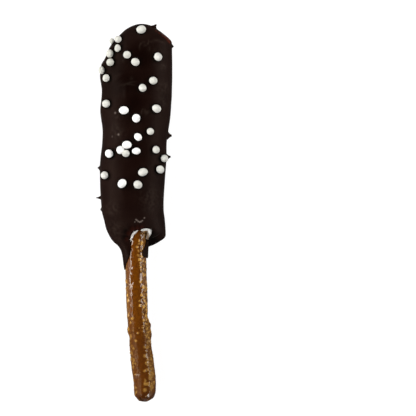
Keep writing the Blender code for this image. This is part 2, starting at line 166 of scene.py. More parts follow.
class PretzelColours(PropertyGroup):
    """The colours of the food."""

    chocolate: FloatVectorProperty(
        name="Chocolate", description="Dark chocolate where it is thick",
        default=(0.0052, 0.0013, 0.0008), **COLOUR)
    chocolate_thin: FloatVectorProperty(
        name="Thin chocolate", description="Chocolate where it is thinner",
        default=(0.0088, 0.0032, 0.0021), **COLOUR)
    # Painted red glint: light through thin chocolate at the right shoulder and round the opening.
    chocolate_red_glint: FloatVectorProperty(
        name="Ruddy chocolate", description="Redder chocolate at the thin shoulder and round the opening",
        default=(0.1, 0.015, 0.006), **COLOUR)
    # Painted shade: the shadow rings round the pearls, the lobe's steep end, the sides of the opening, the
    # left side and the deep top.
    chocolate_painted_shade: FloatVectorProperty(
        name="Dull chocolate", description="Chocolate in the ring round each pearl, and at the lobe's end",
        default=(0.0008, 0.0004, 0.0003), **COLOUR)
    # Partly real smudges and partly a painted sheen.
    chocolate_smudge_and_sheen: FloatVectorProperty(
        name="Smudged chocolate", description="Chocolate in the faint smudges and lines",
        default=(0.035, 0.024, 0.018), **COLOUR)
    chocolate_worn: FloatVectorProperty(
        name="Rubbed chocolate", description="Pale marks where the chocolate was rubbed",
        default=(0.2, 0.16, 0.14), **COLOUR)
    pearl: FloatVectorProperty(
        name="Pearl", description="Sugar pearl",
        default=(0.93, 0.93, 0.92), **COLOUR)
    # Painted shade on the less lit pearls, and the grey of their mottling.
    pearl_grey_and_shade: FloatVectorProperty(
        name="Shaded pearl", description="Greyer sugar of the duller pearls",
        default=(0.46, 0.46, 0.41), **COLOUR)
    cream: FloatVectorProperty(
        name="Cream", description="White cream",
        default=(0.98, 0.98, 0.96), **COLOUR)
    cream_shade: FloatVectorProperty(
        name="Creamy hollows", description="Hollows in the cream",
        default=(0.78, 0.74, 0.66), **COLOUR)
    # Painted shade on the cream wall inside the opening's right side.
    cream_painted_shade: FloatVectorProperty(
        name="Smeared cream", description="Cream smeared brown inside the opening's right side",
        default=(0.17, 0.115, 0.07), **COLOUR)
    crust: FloatVectorProperty(
        name="Crust", description="Smooth brown crust of the rod",
        default=(0.118, 0.033, 0.0012), **COLOUR)
    # Also the paler left flank, partly golden crust and partly a painted sheen.
    crust_pale: FloatVectorProperty(
        name="Pale crust", description="Paler crust on the blisters",
        default=(0.56, 0.3, 0.062), **COLOUR)
    crust_dark: FloatVectorProperty(
        name="Dark crust", description="Darkest crust, at the end and in the pits",
        default=(0.05, 0.014, 0.003), **COLOUR)


class StudioLight(PropertyGroup):
    """The studio's light and floor."""

    strip_brightness: FloatProperty(
        name="Strip lights", description="Brightness of the long narrow light at each side",
        default=9.6, min=0, max=90)
    strip_colour: FloatVectorProperty(
        name="Strip light colour", description="Colour of the long narrow lights",
        default=(1.0, 0.97, 0.92), **COLOUR)
    skirt_brightness: FloatProperty(
        name="Low lights", description="Brightness of the wide low light at each side",
        default=0.7, min=0, max=6)
    crown_brightness: FloatProperty(
        name="End light", description="Brightness of the low light beyond the covered tip",
        default=3, min=0, max=20)
    foot_brightness: FloatProperty(
        name="Foot lights", description="Brightness of the light beyond the bare end, at each side",
        default=3.6, min=0, max=20)
    panel_brightness: FloatProperty(
        name="Soft panels", description="Brightness of the large soft panel at each side",
        default=1.58, min=0, max=6)
    room_brightness: FloatProperty(
        name="Room light", description="Brightness of the room that the food reflects",
        default=0.02, min=0, max=2)
    floor: FloatVectorProperty(
        name="Floor", description="Pale floor",
        default=(0.9, 0.9, 0.9), **COLOUR)


def smooth_curve(places, values, to_place):
    """A cubic curve through the values that never overshoots one, and is level beyond both ends."""
    places, values = np.array(places, float), np.array(values, float)
    steps = np.diff(places)
    slopes = np.diff(values) / steps
    before, after = slopes[:-1], slopes[1:]
    turns_back = before * after <= 0
    shared = 2 * before * after / np.where(turns_back, 1, before + after)
    tangents = np.concatenate([slopes[:1], np.where(turns_back, 0, shared), slopes[-1:]])

    def value_at(where):
        place = np.clip(to_place(where), places[0], places[-1])
        i = np.clip(np.searchsorted(places, place, side="right") - 1, 0, len(steps) - 1)
        t = (place - places[i]) / steps[i]
        start, end = values[i], values[i + 1]
        leaving, arriving = tangents[i] * steps[i], tangents[i + 1] * steps[i]
        ease = t * t * (3 - 2 * t)
        return start + (end - start) * ease + t * (1 - t) * ((1 - t) * leaving - t * arriving)

    return value_at


def down_the_rod(*points, unit=MM):
    """A curve through (distance in millimetres, value in units) pairs, read with a distance in metres."""
    places = [math.sqrt(distance * MM) for distance, _ in points]
    return smooth_curve(places, [value * unit for _, value in points], lambda d: np.sqrt(np.maximum(d, 0)))


def round_the_rod(*points, unit=MM):
    """A curve through (angle in degrees, value in units) pairs, read with an angle in radians."""
    return smooth_curve([angle for angle, _ in points], [value * unit for _, value in points], np.degrees)


# The line that everything is built round: along the middle of the rod, and on to the covered tip
core_x = down_the_rod((0, 3.3), (12, 2.8), (30, 1.6), (60, 0.8), (90, 0.8), (115, 1.3), (123, 0.9),
                      (134, 0.6), (150, 1.0), (165, 1.7), (180, 3.25), (190, 4.45), (196, 5.25), (201, 5.55),
                      (206, 5.45), (210, 5.3))


def core_z(distance):
    return ROD_END_HEIGHT + (TOTAL_LENGTH - distance) * ROD_SLOPE


# The chocolate's left and right edges from above, and its top and back from the side
coat_left = down_the_rod((0, 3.3), (1.4, -2.2), (3, -5.0), (6.3, -8.7), (13, -14.0), (19, -16.5), (23, -18.7),
                         (29, -19.3), (37, -18.2), (47, -19.3), (60, -17.9), (68, -18.3), (81, -19.5),
                         (100, -18.8), (104.5, -18.4), (109, -17.2), (114, -15.9), (117.3, -14.4),
                         (119.5, -13.1), (121.4, -11.5), (122.8, -9.8), (124.4, -8.5), (127, -7.4),
                         (131, -6.8), (134, -6.5), (138, -5.6))
coat_right = down_the_rod((0, 3.3), (1.4, 10.0), (3, 12.6), (6.3, 17.1), (8.4, 19.4), (10, 20.6), (12, 20.75),
                          (36, 20.8), (47, 20.1), (60, 18.5), (65, 17.9), (78, 17.4), (88, 16.7), (97, 16.2),
                          (103, 16.1), (109, 16.7), (114, 17.0), (117.3, 17.1), (118.6, 16.7), (119.6, 15.8),
                          (120.7, 14.2), (121.8, 12.4), (122.9, 10.2), (124, 7.9), (125.5, 7.6), (129, 7.5),
                          (138, 7.0))
coat_top = down_the_rod((0, 13.7), (1.4, 17.2), (3, 19.5), (6.3, 22.2), (10, 24.1), (16, 25.7), (26, 26.9),
                        (46, 27.5), (86, 27.0), (100, 25.7), (107, 23.6), (111, 21.4), (114.5, 19.4),
                        (118, 17.6), (121, 16.6), (124, 16.1), (138, 15.5))
coat_back = down_the_rod((0, 13.7), (1.4, 8.4), (3, 5.4), (6.3, 2.3), (10, 0.4), (16, -1.1), (26, -1.6),
                         (96, -1.6), (104, -1.2), (109, -0.3), (114, 0.8), (119, 2.0), (124, 2.5), (138, 2.2))

# How much lower the chocolate's top is at the right of the open front, where its end falls away steeply
lobe_fall = down_the_rod((109, 0), (112, 0.4), (115, 1.6), (118, 5.0), (121, 6.2), (138, 6.2))
lobe_share = round_the_rod((-90, 1), (10, 1), (24, 0.45), (36, 0.3), (50, 0.25), (74, 0), (180, 0), (270, 1),
                           unit=1)

# 2 is a round section, and more is squarer
coat_squareness = down_the_rod((0, 2.2), (10, 2.4), (100, 2.4), (124, 2.0), unit=1)
coat_wall = down_the_rod((2.4, 0), (6, 0.8), (12, 1.6), (22, 2.2), (105, 2.2), (113, 1.7), (122, 1.2),
                         (138, 0.9))

# How far down the rod the chocolate and the cream reach: high in front, with a drip down each side
chocolate_rim = round_the_rod((-90, 128.5), (-40, 129.4), (-10, 130.2), (12, 129.9), (17.5, 128.7), (19, 124),
                              (20, 121), (24, 119.8), (31, 119.3), (35, 118.2), (38, 116.2), (42, 114.6),
                              (48, 113.9), (56, 113.6),
                              (72, 113.9), (80, 114.9), (86, 114.6), (101, 115.1), (112, 116.9), (119, 118.5),
                              (121.2, 119.8), (121.7, 121.5), (122, 124.5), (122.4, 127), (123.8, 128.4),
                              (129, 129.4), (136, 130.5), (145, 132), (160, 134), (176, 136.8), (190, 136.4),
                              (270, 128.5))
cream_rim = round_the_rod((-90, 112), (-40, 118), (-15, 120.5), (10, 120.5), (24, 120), (34, 119.6),
                          (38, 118.4), (41, 116.6), (45, 115.2), (52, 115.0), (66, 115.1), (72, 114.8),
                          (76, 113.8), (82, 114.2), (86, 115.2), (94, 116.2), (102, 116.9), (110, 118.1),
                          (116, 120.1), (124, 121.2), (180, 118), (270, 112))

# The blunt tongue that turns in over the open front from the right drip: how many degrees round it reaches
tongue_edge = down_the_rod((118.5, 14), (119.5, 20), (120.6, 30.5), (122.7, 32.5), (124.7, 47), (126.2, 53.5),
                           (128.6, 53), (129.6, 38), unit=1)
TONGUE_START = 118.5 * MM
TONGUE_END = 129.6 * MM
TONGUE_FOOT = 2
TONGUE_ROWS = 60
TONGUE_LINES = 24
TONGUE_ROUNDING = 0.7 * MM

# How far the cream draws back from the rod beside the open front, from 0 to 1, and how thick it is there
cream_hollow = round_the_rod((-90, 0), (14, 0), (28, 0.45), (40, 1), (84, 1), (96, 0), (270, 0), unit=1)
HOLLOW_START = 106 * MM
HOLLOW_DEPTH = 6 * MM
HOLLOW_WALL = 1.1 * MM

# How far back the cream's edge starts to round off, and how far it swells out at the left of the open front
CREAM_ROUNDING = 0.7 * MM
CREAM_EDGE = 0.1
CREAM_SWELL = 1.0 * MM
SWELL_FADE = 0.4 * MM
SWELL_BAND = (108, 20)

# The cream's lumps as (height, size, seed), how far it is sunk, and how soon both start below the lip's start
CREAM_LUMPS = ((0.2 * MM, 2.4 * MM, 1.7), (0.08 * MM, 0.9 * MM, 4.1))
CREAM_SINK = 0.15 * MM
CREAM_LUMPS_RUN = 4 * MM

# The rod's radius, its lumps as (distance, angle, height, half length, half width in degrees), and its waves
# as (turns round it, length along it, height, phase)
rod_radius = down_the_rod((12, 5.7), (126, 5.7), (140, 5.9), (151, 5.95), (160, 5.85), (180, 6.05),
                          (190, 6.4), (196, 6.35), (202, 6.1), (210, 6.0))
LUMPS = ((162, 5, -0.4, 1.8, 40), (167.6, 6, 1.1, 2.2, 34), (172.5, 4, 1.15, 2.7, 36), (166, 60, 0.5, 5, 30),
         (170.8, 178, 0.45, 1.7, 28), (174.4, 178, -0.45, 1.8, 30))
WAVES = ((2, 31, 0.10, 0.4), (3, 19, 0.07, 1.9), (1, 47, 0.12, 3.1))

# Handfuls of sugar pearls, as (x, y) in millimetres, where each pearl shows from above, its half length and
# half width in millimetres, and how many degrees it is turned
PEARLS = {
    "tip": ((3.6, 101.8, 2.65, 2.25, 10), (-4.2, 87.7, 2.1, 2.05, 0), (0.4, 83.7, 2.35, 2.15, -31),
            (13.0, 86.6, 2.4, 2.15, -61), (10.3, 73.4, 2.25, 2.1, -20), (4.4, 69.3, 2.2, 2.05, -68)),
    "left shoulder": ((-9.3, 96.4, 1.95, 1.9, 0), (-12.7, 95.5, 1.6, 1.35, 90), (-9.5, 91.4, 2.1, 1.7, 90),
                      (-13.9, 88.4, 2.35, 2.0, 90), (-13.6, 83.6, 2.1, 2.05, 0), (-18.4, 79.2, 2.2, 1.65, 90),
                      (-15.9, 74.8, 2.15, 1.9, 90)),
    "upper face": ((-15.9, 60.6, 2.2, 2.15, 0), (-6.0, 56.9, 2.7, 2.2, 0), (12.2, 57.9, 2.5, 2.15, -34),
                   (0.9, 52.5, 2.35, 2.2, -75), (8.7, 45.2, 1.95, 1.9, 0), (1.9, 42.1, 2.35, 1.9, -48)),
    "middle": ((-4.3, 37.8, 2.6, 2.2, 0), (-7.9, 34.9, 2.2, 2.2, 0), (-4.9, 33.0, 2.05, 2.0, 0),
               (0.9, 34.3, 2.35, 1.85, 0), (-14.2, 32.9, 2.3, 2.2, -58)),
    "right edge": ((11.9, 35.1, 2.1, 1.95, -67), (16.4, 30.2, 2.15, 2.1, 0), (14.2, 24.1, 2.3, 2.1, -40)),
    "lower face": ((4.6, 22.6, 2.65, 2.15, 16), (-16.8, 20.9, 2.1, 2.1, 0), (-7.0, 16.3, 2.6, 2.2, 53),
                   (1.8, 15.7, 2.45, 2.2, -34)),
}

# Pearls painted brighter than the others, as painted light, and the handful painted greyer, as painted shade
BRIGHT_LIT_PEARLS = ((-6.0, 56.9), (0.9, 52.5), (1.9, 42.1), (-4.3, 37.8), (-7.9, 34.9), (0.9, 34.3),
                (-14.2, 32.9), (-7.0, 16.3))
SHADED_HANDFUL = "left shoulder"
SHADED_PEARL = 0.24
USUAL_PEARL = 0.35
PEARL_CHANCE = 0.08

# A pearl's dents as (depth, size, seed), where its radius is 1, and how finely it is divided
PEARL_DENTS = ((1.0, 0.9, 7.3), (0.7, 0.35, 3.7))
PEARL_FINENESS = 4

# Tails of chocolate pulled out of the edges, as (angle, distance, length, half width) in millimetres
TAILS = ((8, 1.8, 2.0, 1.5), (-4, 12.4, 0.9, 1.1), (-6, 62, 2.4, 2.0), (-8, 74, 2.4, 1.6),
         (186, 80, 1.3, 1.2), (184, 96.5, 2.6, 1.0), (187, 103, 0.8, 1.1))
TAIL_SUNK = 1.2
TAIL_RINGS = 12
TAIL_SIDES = 16
TAIL_LEAN = 0.25
TAIL_POINT = 0.3
TAIL_FLARE = 1.8
TAIL_BLUNTNESS = 5
TAIL_OVAL = 0.12

# Stretches of angle as (start, stop, lines), closer together at the two sides of the open front
CHOCOLATE_LINES = ((-90, 14, 44), (14, 24, 24), (24, 60, 40), (60, 110, 46), (110, 119, 10), (119, 126, 28),
                   (126, 140, 14), (140, 270, 60))
CREAM_LINES = ((-90, 20, 24), (20, 140, 100), (140, 270, 28))

# Painted red glints, of light through thin chocolate, as (x, y, radius) in millimetres: the right shoulder
# and round the opening
SHOULDER_GLINT_SPOTS = ((19.3, 95.2, 0.8), (18.3, 96.4, 0.8), (17.0, 97.7, 0.7), (15.5, 98.8, 0.6),
                  (13.6, 99.9, 0.5), (11.8, 100.9, 0.4))
OPENING_GLINT_SPOTS = ((-1.0, -9.2, 2.4), (1.5, -8.6, 2.2), (3.8, -8.2, 1.6), (-3.2, -11.5, 1.8),
                 (-4.4, -14.5, 1.5))
SHOULDER_GLINT_SHARE = 0.8
OPENING_GLINT_SHARE = 0.14
UPPER_FROM = (12 * MM, 3 * MM)

# Painted shade on the chocolate, which is also made duller, as (x, y, radius) in millimetres: the steep end
# of the right lobe, and the left and upper side of the opening
PAINTED_SHADE_PLACES = ((9.4, -11.5, 2.2), (9.8, -14.2, 2.8), (12.2, -16.0, 2.4), (9.0, -17.2, 2.6),
               (14.5, -16.2, 1.4), (-4.6, -10.6, 2.2), (-5.0, -13.6, 2.2), (-2.2, -8.6, 2.0),
               (0.4, -8.0, 1.8), (2.6, -7.8, 1.4))
PAINTED_SHADE_STRENGTH = 1.3

# Painted shade on the cream wall inside the opening's right side, as (x, y, radius) in millimetres
SHADED_WALL_SPOTS = ((6.7, -10.8, 1.1), (7.0, -11.7, 1.2), (7.1, -12.7, 1.4), (7.1, -13.7, 1.5), (7.0, -14.7, 1.7))
WALL_SHADE_STRENGTH = 1.25

# Where the chocolate is painted darker, as painted shade, and made smoother, as (x, y, radius) in millimetres
DEEP_SHADE_PLACES = ((-2.5, 72.0, 9.5), (4.0, 88.0, 9.5), (0.5, 62.0, 7.0))

# Where the chocolate's left side is rougher and painted darker, a painted shade over its sheen, as (x, y,
# radius) in millimetres
SOFT_SHADE_PLACES = ((-13.5, 69.0, 8.0), (-12.0, 80.0, 6.0))
SOFT_SHADE_SHARE = 0.4

# Faint smudges on the chocolate, partly real and partly a painted sheen, as (x, y, radius) in millimetres
SMUDGES_AND_SHEENS = ((-1.6, 74.4, 1.2), (15.9, 80.8, 2.2), (6.8, 56.1, 2.4), (-6.6, 84.4, 1.0), (-9.4, 53.0, 1.6),
           (16.2, 70.0, 4.5), (15.8, 62.0, 3.5), (9.0, 90.8, 2.0), (-10.5, -9.0, 5.0), (-12.5, 2.0, 4.0),
           (9.0, 8.0, 7.0), (-10.0, 45.0, 4.0))
SMUDGE_PATCHES = (1.6 * MM, 12.5, 0.35, 1.1, 0.7)

# Faint lines left by the dipping, partly a painted sheen, as (x, y, radius, first degree, last degree), and
# their half width
WISPS = ((-4.0, 60.5, 11.0, 62, 118), (0.0, 63.2, 9.5, 80, 140), (5.2, 92.0, 2.6, 60, 230),
         (5.6, 95.2, 2.2, 240, 400), (12.0, 86.5, 9.0, 55, 120), (14.5, 79.0, 3.2, 20, 100),
         (7.2, 55.5, 3.4, 130, 200))
WISP_WIDTH = 0.4

# Places rubbed pale on the chocolate, as (x, y, radius) in millimetres: pinholes and small scuffs
PINHOLES = ((-10.8, 55.5, 0.55), (-9.0, 43.5, 0.55), (-12.5, 42.4, 0.3))
PINHOLE_SHARE = 0.7
SCUFFS = ((0.75, -3.7, 0.4), (1.3, -4.1, 0.4), (2.0, -4.7, 0.45), (2.8, -5.0, 0.45), (3.5, -4.8, 0.45),
          (4.2, -4.3, 0.4), (5.4, -2.8, 0.4), (0.1, -5.0, 0.3))

# Shallow arcs left by the dipping, as (x, y, radius, first degree, last degree, height, half width)
SWIRLS = ((-4.0, 66.0, 10.5, 60, 150, 0.30, 1.6), (4.0, 66.0, 9.0, 150, 200, 0.25, 1.2),
          (16.0, 84.0, 13.0, 110, 175, 0.28, 1.8), (20.0, 74.0, 7.0, 80, 140, 0.25, 1.3),
          (2.0, 30.0, 14.0, -60, 30, 0.22, 2.2), (-14.0, 6.0, 9.0, -20, 70, 0.20, 2.0))

# Soft ripples in the chocolate as (share of the ripple height, size, seed), and how near an edge they fade
RIPPLES = ((1, 13 * MM, 3.1), (0.6, 6 * MM, 8.7))
CALM_EDGE = 1.5 * MM

# How fast arcs and marks fade where the surface turns down, where it faces up enough to look polished and be
# painted darker as shade, how far in the painted shadow rings round the pearls are drawn, and how sharply a
# spot falls off
SWIRL_GAIN = 2
SHOWN_GAIN = 3
POLISHED_FROM = (0.86, 0.1)
SHADOW_RING_INWARD = 0.96
SPOT_FALL = 1.4

# Golden patches, scorches and notches on the crust, as (degrees, distance, half width) in millimetres
GOLDEN_PATCHES = ((72, 184.5, 0.9), (65, 188.4, 1.0), (88, 200.0, 0.9), (89, 203.4, 1.0), (60, 186.5, 0.7),
                  (150, 183.0, 0.8), (45, 194.5, 1.0), (60, 197.0, 0.9), (50, 201.5, 1.1), (112, 176.0, 0.7))
SCORCHES = ((176, 167.5, 2.0), (178, 170.5, 2.0), (174, 164.5, 1.5))
NOTCHES = ((122, 209.3, 0.9), (120, 208.0, 0.5), (165, 205.5, 0.8), (30, 206.5, 0.6))
NOTCH_DEPTH = 0.9 * MM
ROD_RADIUS = 6

# Bands down the crust as (degrees, half width): right flank, left flank, back, front, and glossy streak
CRUST_BANDS = ((38, 36), (155, 30), (270, 60), (85, 30), (122, 20))
LEFT_SHARE = 0.65
BACK_SHARE = 0.8
FRONT_SHARE = 0.15
FRONT_END = 144
FRONT_FADE = 10

# The grainy lump as (degrees, distance, half width in degrees, half length)
GRAINY_LUMP = (42, 171, 50, 7)

# Where effects start down the crust, and over how many more millimetres they come up
LEFT_FROM = (132, 13)
TAN_SHEEN_FADE = (145, 30)
DRY_FROM = (145, 35)
FINE_FROM = (150, 20)
LOWER_DARKENING_FROM = (160, 20)
END_DARKENING_FROM = (202, 4)
END_LUMPS_FROM = (204, 3)

# Patches as (size, seed, usual value, swing)
GRAIN_PATCHES = (5 * MM, 2.2, 0.8, 1.0)
DRY_PATCHES = (4 * MM, 3.3, 0.8, 1.0)
SCORCH_PATCHES = (2.5 * MM, 4.4, 0.8, 0.6)

# How grains are drawn by chance, and what shares of a grain its start, its edge, its dome and its cracks take
LUCK_WAY = Vector((12.9898, 78.233, 37.719))
LUCK_SCALE = 43758.5453
HEIGHT_LUCK = 7.31
GRAIN_ONSET = 0.12
GRAIN_EDGE = 0.4
GRAIN_DOME = 0.8
CRACK_WIDTH = 0.2
MOST_GRAINS = 0.95

# How grains are pushed out of shape, and how small and how frequent the smaller ones are
PUSH = 0.4 * MM
PUSH_SIZE = 1.6 * MM
PUSH_SEEDS = (11.3, 17.9, 23.1)
SMALL_SIZE = 0.5
SMALL_SEED = 9.1
SMALL_LEAST = 0.2
SMALL_MORE = 0.6

# Swells of the crust as (place, height, size of the lumps, seed) in millimetres
CRUST_SWELLS = (("all over", 0.12, 3, 1.1), ("fine", 1, 1, 9.3), ("streak", 0.26, 2.1, 6.1),
                ("lump", 0.3, 4, 5.2), ("end", 0.4, 2.6, 8.8))
FINE_LEAST = 0.05
FINE_MORE = 0.07
END_SWELL = 0.05 * MM

# Where the crust's relief starts inside the coating, and how near the bare end it dies away
RELIEF_START = 106 * MM
RELIEF_RUN = 4 * MM
RELIEF_END = 2 * MM

# How dark the cracks, the end and the lower rod are made, and the glossy line down the front in degrees
CRACK_SCORCH = 0.75
END_DARKENING = 0.95
LOWER_DARKENING = 0.5
GLOSS_LINE = 82
GLOSS_SIDES = (14, 18)

# The studio's lights as (name, degrees from overhead, kind of brightness, share of it, how far away, width,
# length, how far towards the tip), in metres
LIGHTS = (("left_strip", -58, "strip", 1.0, 0.9, 0.22, 1.85, 0.14),
          ("right_strip", 60, "strip", 0.85, 0.9, 0.2, 1.2, 0.5),
          ("left_panel", -48, "panel", 1.0, 1.1, 0.8, 1.6, 0.2),
          ("right_panel", 48, "panel", 1.0, 1.1, 0.8, 1.6, 0.2),
          ("left_skirt", -75, "skirt", 1.6, 1.0, 0.55, 1.8, -0.1),
          ("right_skirt", 75, "skirt", 2.2, 1.0, 0.55, 1.2, 0.6),
          ("crown_light", -25, "crown", 1.0, 0.35, 0.5, 0.25, 0.8),
          ("left_foot", -50, "foot", 1.0, 0.8, 0.5, 0.6, -0.95),
          ("right_foot", 70, "foot", 2.6, 1.0, 0.5, 0.6, -0.7))

# The floor, and how much of its colour is left for what it throws back
FLOOR_REACH = 6.0
FLOOR_DROP = 0.02 * MM
FLOOR_SHADE = 0.2

# The camera: its spot over the food, the width that it frames at the focus height, and its lens
CAMERA_SPOT = (40.66 * MM, 2.75 * MM)
FRAME_WIDTH = 231.1 * MM
FOCUS_HEIGHT = 13 * MM
LENS = 1000
SENSOR_WIDTH = 36
CLIP_END = 20


def point_at(angle, distance, radius):
    """Places at angles, distances and radii, as an array whose last axis is x, y, z."""
    angle, distance, radius = np.broadcast_arrays(angle, distance, radius)
    return np.stack([core_x(distance) + radius * np.cos(angle),
                     TIP_Y - distance,
                     core_z(distance) + radius * np.sin(angle)], axis=-1)


def coat_outside(angle, distance):
    """From the core to the outside of the chocolate: a soft square, cut flat where it set on its back."""
    angle, distance = np.broadcast_arrays(np.asarray(angle, float), np.asarray(distance, float))
    left, right = coat_left(distance), coat_right(distance)
    middle = core_z(distance)
    top = coat_top(distance) - lobe_fall(distance) * lobe_share(angle)
    height = np.where(np.sin(angle) > 0, top - middle, middle - coat_back(distance))
    half_width = np.maximum((right - left) / 2, TINY)
    half_height = np.maximum(height, TINY)
    off_centre = core_x(distance) - (right + left) / 2
    power = coat_squareness(distance)
    inner, outer = np.zeros_like(half_width), 2 * (half_width + half_height)
    for _ in range(WIDTH_SEARCH_STEPS):
        radius = (inner + outer) / 2
        across = np.abs(off_centre + radius * np.cos(angle)) / half_width
        upward = np.abs(radius * np.sin(angle)) / half_height
        inside = across ** power + upward ** power < 1
        inner = np.where(inside, radius, inner)
        outer = np.where(inside, outer, radius)
    down = np.maximum(-np.sin(angle), TINY)
    inner = np.where(np.sin(angle) < 0, np.minimum(inner, middle / down), inner)
    return np.where(distance > LIP_START, np.maximum(inner, rod_radius(distance) + GAP + LEAST_WALL), inner)


def tip_share(distance):
    """1 at the tip, where a wall is measured along the rod, falling to 0 where the lip starts."""
    return np.maximum(0.0, 1 - distance / LIP_START)


def coat_inside(angle, distance):
    """The chocolate's inner face. It follows the outside, and closes on the rod below the cream."""
    radius = coat_outside(angle, distance - TIP_WALL * tip_share(distance)) - coat_wall(distance)
    return np.where(distance > ROD_HIDDEN_END, np.maximum(radius, rod_radius(distance) + GAP), radius)


def cream_outside(angle, distance):
    gap = np.where(distance < LIP_START, GAP, LIP_GAP)
    radius = coat_inside(angle, distance - GAP * tip_share(distance))
    return radius - gap * np.minimum(1, distance / TIP_FADE)


def cream_inside(angle, distance):
    """The bore round the rod, which opens into a hollow at the right of the open front."""
    bore = rod_radius(distance) + GAP
    depth = ramp(distance, HOLLOW_START, HOLLOW_DEPTH)
    lining = cream_outside(angle, distance) - HOLLOW_WALL
    return bore + np.maximum(0.0, lining - bore) * cream_hollow(angle) * depth * depth * (3 - 2 * depth)


def cream_end(angle):
    """Where the cream ends: at its rim, or sooner where the chocolate closes on the rod."""
    end = np.broadcast_to(cream_rim(angle), np.shape(angle)).copy()
    for _ in range(CREAM_END_STEPS):
        tight = cream_outside(angle, end) - cream_inside(angle, end) < LEAST_CREAM
        end = np.where(tight, end - CREAM_END_STEP, end)
    return end


def rod_outside(angle, distance):
    """The baked rod: rounded at both ends, and wavy and lumpy where it is bare."""
    to_bare_end = TOTAL_LENGTH - distance
    to_end = np.minimum(distance - ROD_HIDDEN_END, to_bare_end)
    radius = rod_radius(distance) * round_over(to_end / ROD_END_ROUNDING)
    bareness = ramp(distance, ROD_BARE_START, ROD_BARE_FADE)
    bareness = np.minimum(bareness, to_bare_end / ROD_END_ROUNDING)
    relief = np.zeros_like(radius)
    for turns, length, height, phase in WAVES:
        relief += height * np.sin(turns * angle + phase) * np.cos(math.tau * distance / length / MM + phase)
    for place, degrees, height, half_length, half_width in LUMPS:
        along = (distance / MM - place) / half_length
        turn = turned_from(angle, degrees) / half_width
        relief += height * np.exp(-along * along - turn * turn)
    return radius + relief * MM * np.maximum(0.0, bareness)


def turned_from(angle, degrees):
    """How many degrees each angle is past that one, between -180 and 180."""
    return (np.degrees(angle) - degrees + 180) % 360 - 180


def ramp(value, start, run):
    """0 up to the start, rising to 1 over the run."""
    return np.clip((value - start) / run, 0, 1)


def bell(value, half_width):
    """1 where the value is 0, falling softly to 0 on both sides."""
    return np.exp(-(value / half_width) ** 2)


def band(angles, degrees, half_width):
    """1 along a line down the rod at that many degrees, falling softly to 0 on both sides."""
    return bell(turned_from(angles, degrees), half_width)


def round_over(share):
    """A quarter circle: 0 at share 0, up to 1 at share 1 and beyond."""
    return np.sqrt(1 - (1 - np.clip(share, 0, 1)) ** 2)


def coat_point(angle, distance):
    return point_at(angle, distance, coat_outside(angle, distance))


def coat_normal(angle, distance):
    """The way out of the chocolate's surface."""
    turn, step = 0.02, 0.2 * MM
    distance = np.maximum(distance, 2 * step)
    round_it = coat_point(angle + turn, distance) - coat_point(angle - turn, distance)
    along_it = coat_point(angle, distance + step) - coat_point(angle, distance - step)
    return unit(np.cross(round_it, along_it))


def unit(vectors):
    lengths = np.linalg.norm(vectors, axis=-1, keepdims=True)
    return vectors / np.maximum(lengths, LEAST_CROSS)


def landing_spots(x, y, height):
    """The angles and distances from which things that stand so high off the chocolate show at x, y."""
    distance = TIP_Y - y
    angle = np.full_like(distance, math.pi / 2)
    for _ in range(LANDING_STEPS):
        shown = coat_point(angle, distance) + coat_normal(angle, distance) * height[:, None]
        sideways = coat_outside(angle, distance) * np.maximum(LEAST_SLOPE, np.sin(angle))
        angle = angle + (shown[:, 0] - x) / sideways / 2
        angle = np.clip(angle, *LANDING_ANGLES)
        distance = np.maximum(LANDING_TIP, distance + (shown[:, 1] - y) / 2)
    return angle, distance


def place_pearls():
    """Middles, half sizes and turns of the sugar pearls."""
    table = np.array([pearl for handful in PEARLS.values() for pearl in handful])
    x, y, half_length, half_width = (table[:, k] * MM for k in range(4))
    radii = (half_length + half_width) / 2
    heights = radii * (1 - PEARL_SUNK)
    angles, distances = landing_spots(x, y, heights)
    middles = coat_point(angles, distances) + coat_normal(angles, distances) * heights[:, None]
    return middles, np.stack([half_length, half_width, radii], axis=1), np.radians(table[:, 4])


def cloud(points, size, seed=0.0):
    """Soft noise, about -1 to 1, with lumps of that size."""
    flat = points.reshape(-1, 3) / size + seed
    return np.array([noise.noise(p) for p in flat.tolist()]).reshape(points.shape[:-1])


def clouds(points, layers):
    """Layers of soft noise as (height, size of the lumps, seed), one on another."""
    return sum(height * cloud(points, size, seed) for height, size, seed in layers)


def patchy(points, size, seed, usual, swing, most=1.0):
    """Soft patches of that size: the usual value, more or less by the swing, between 0 and the most."""
    return np.clip(usual + swing * cloud(points, size, seed), 0, most)


def granules(points, size, share, seed=0.0):
    """Heights of grains that meet in cracks, and the cracks. A larger share gives more of both."""
    places = (points.reshape(-1, 3) / size + seed).tolist()
    shares = np.broadcast_to(share, points.shape[:-1]).reshape(-1).tolist()
    heights, cracks = [], []
    for place, wanted in zip(places, shares):
        away, middles = noise.voronoi(place)
        luck = math.sin(middles[0].dot(LUCK_WAY)) * LUCK_SCALE % 1
        rise = min(max((wanted - luck) / GRAIN_ONSET, 0.0), 1.0)
        grain = min((away[1] - away[0]) / GRAIN_EDGE, 1.0)
        dome = max(1 - (away[0] / GRAIN_DOME) ** 2, 0.0)
        heights.append(rise * grain * dome * (0.5 + 0.5 * (luck * HEIGHT_LUCK % 1)))
        cracks.append(rise * max(1 - (away[1] - away[0]) / CRACK_WIDTH, 0.0))
    return np.array(heights).reshape(points.shape[:-1]), np.array(cracks).reshape(points.shape[:-1])


def spread_lines(stretches):
    """Angles in radians from (start, stop, lines) stretches in degrees."""
    return np.radians([start + (stop - start) * k / lines
                       for start, stop, lines in stretches for k in range(lines)])


def spaced(start, stop, count):
    return start + (stop - start) * np.arange(1, count + 1) / count


def spaced_for_round_end(start, stop, count):
    """Distances that start close together."""
    return start + (stop - start) * (np.arange(1, count + 1) / count) ** 2


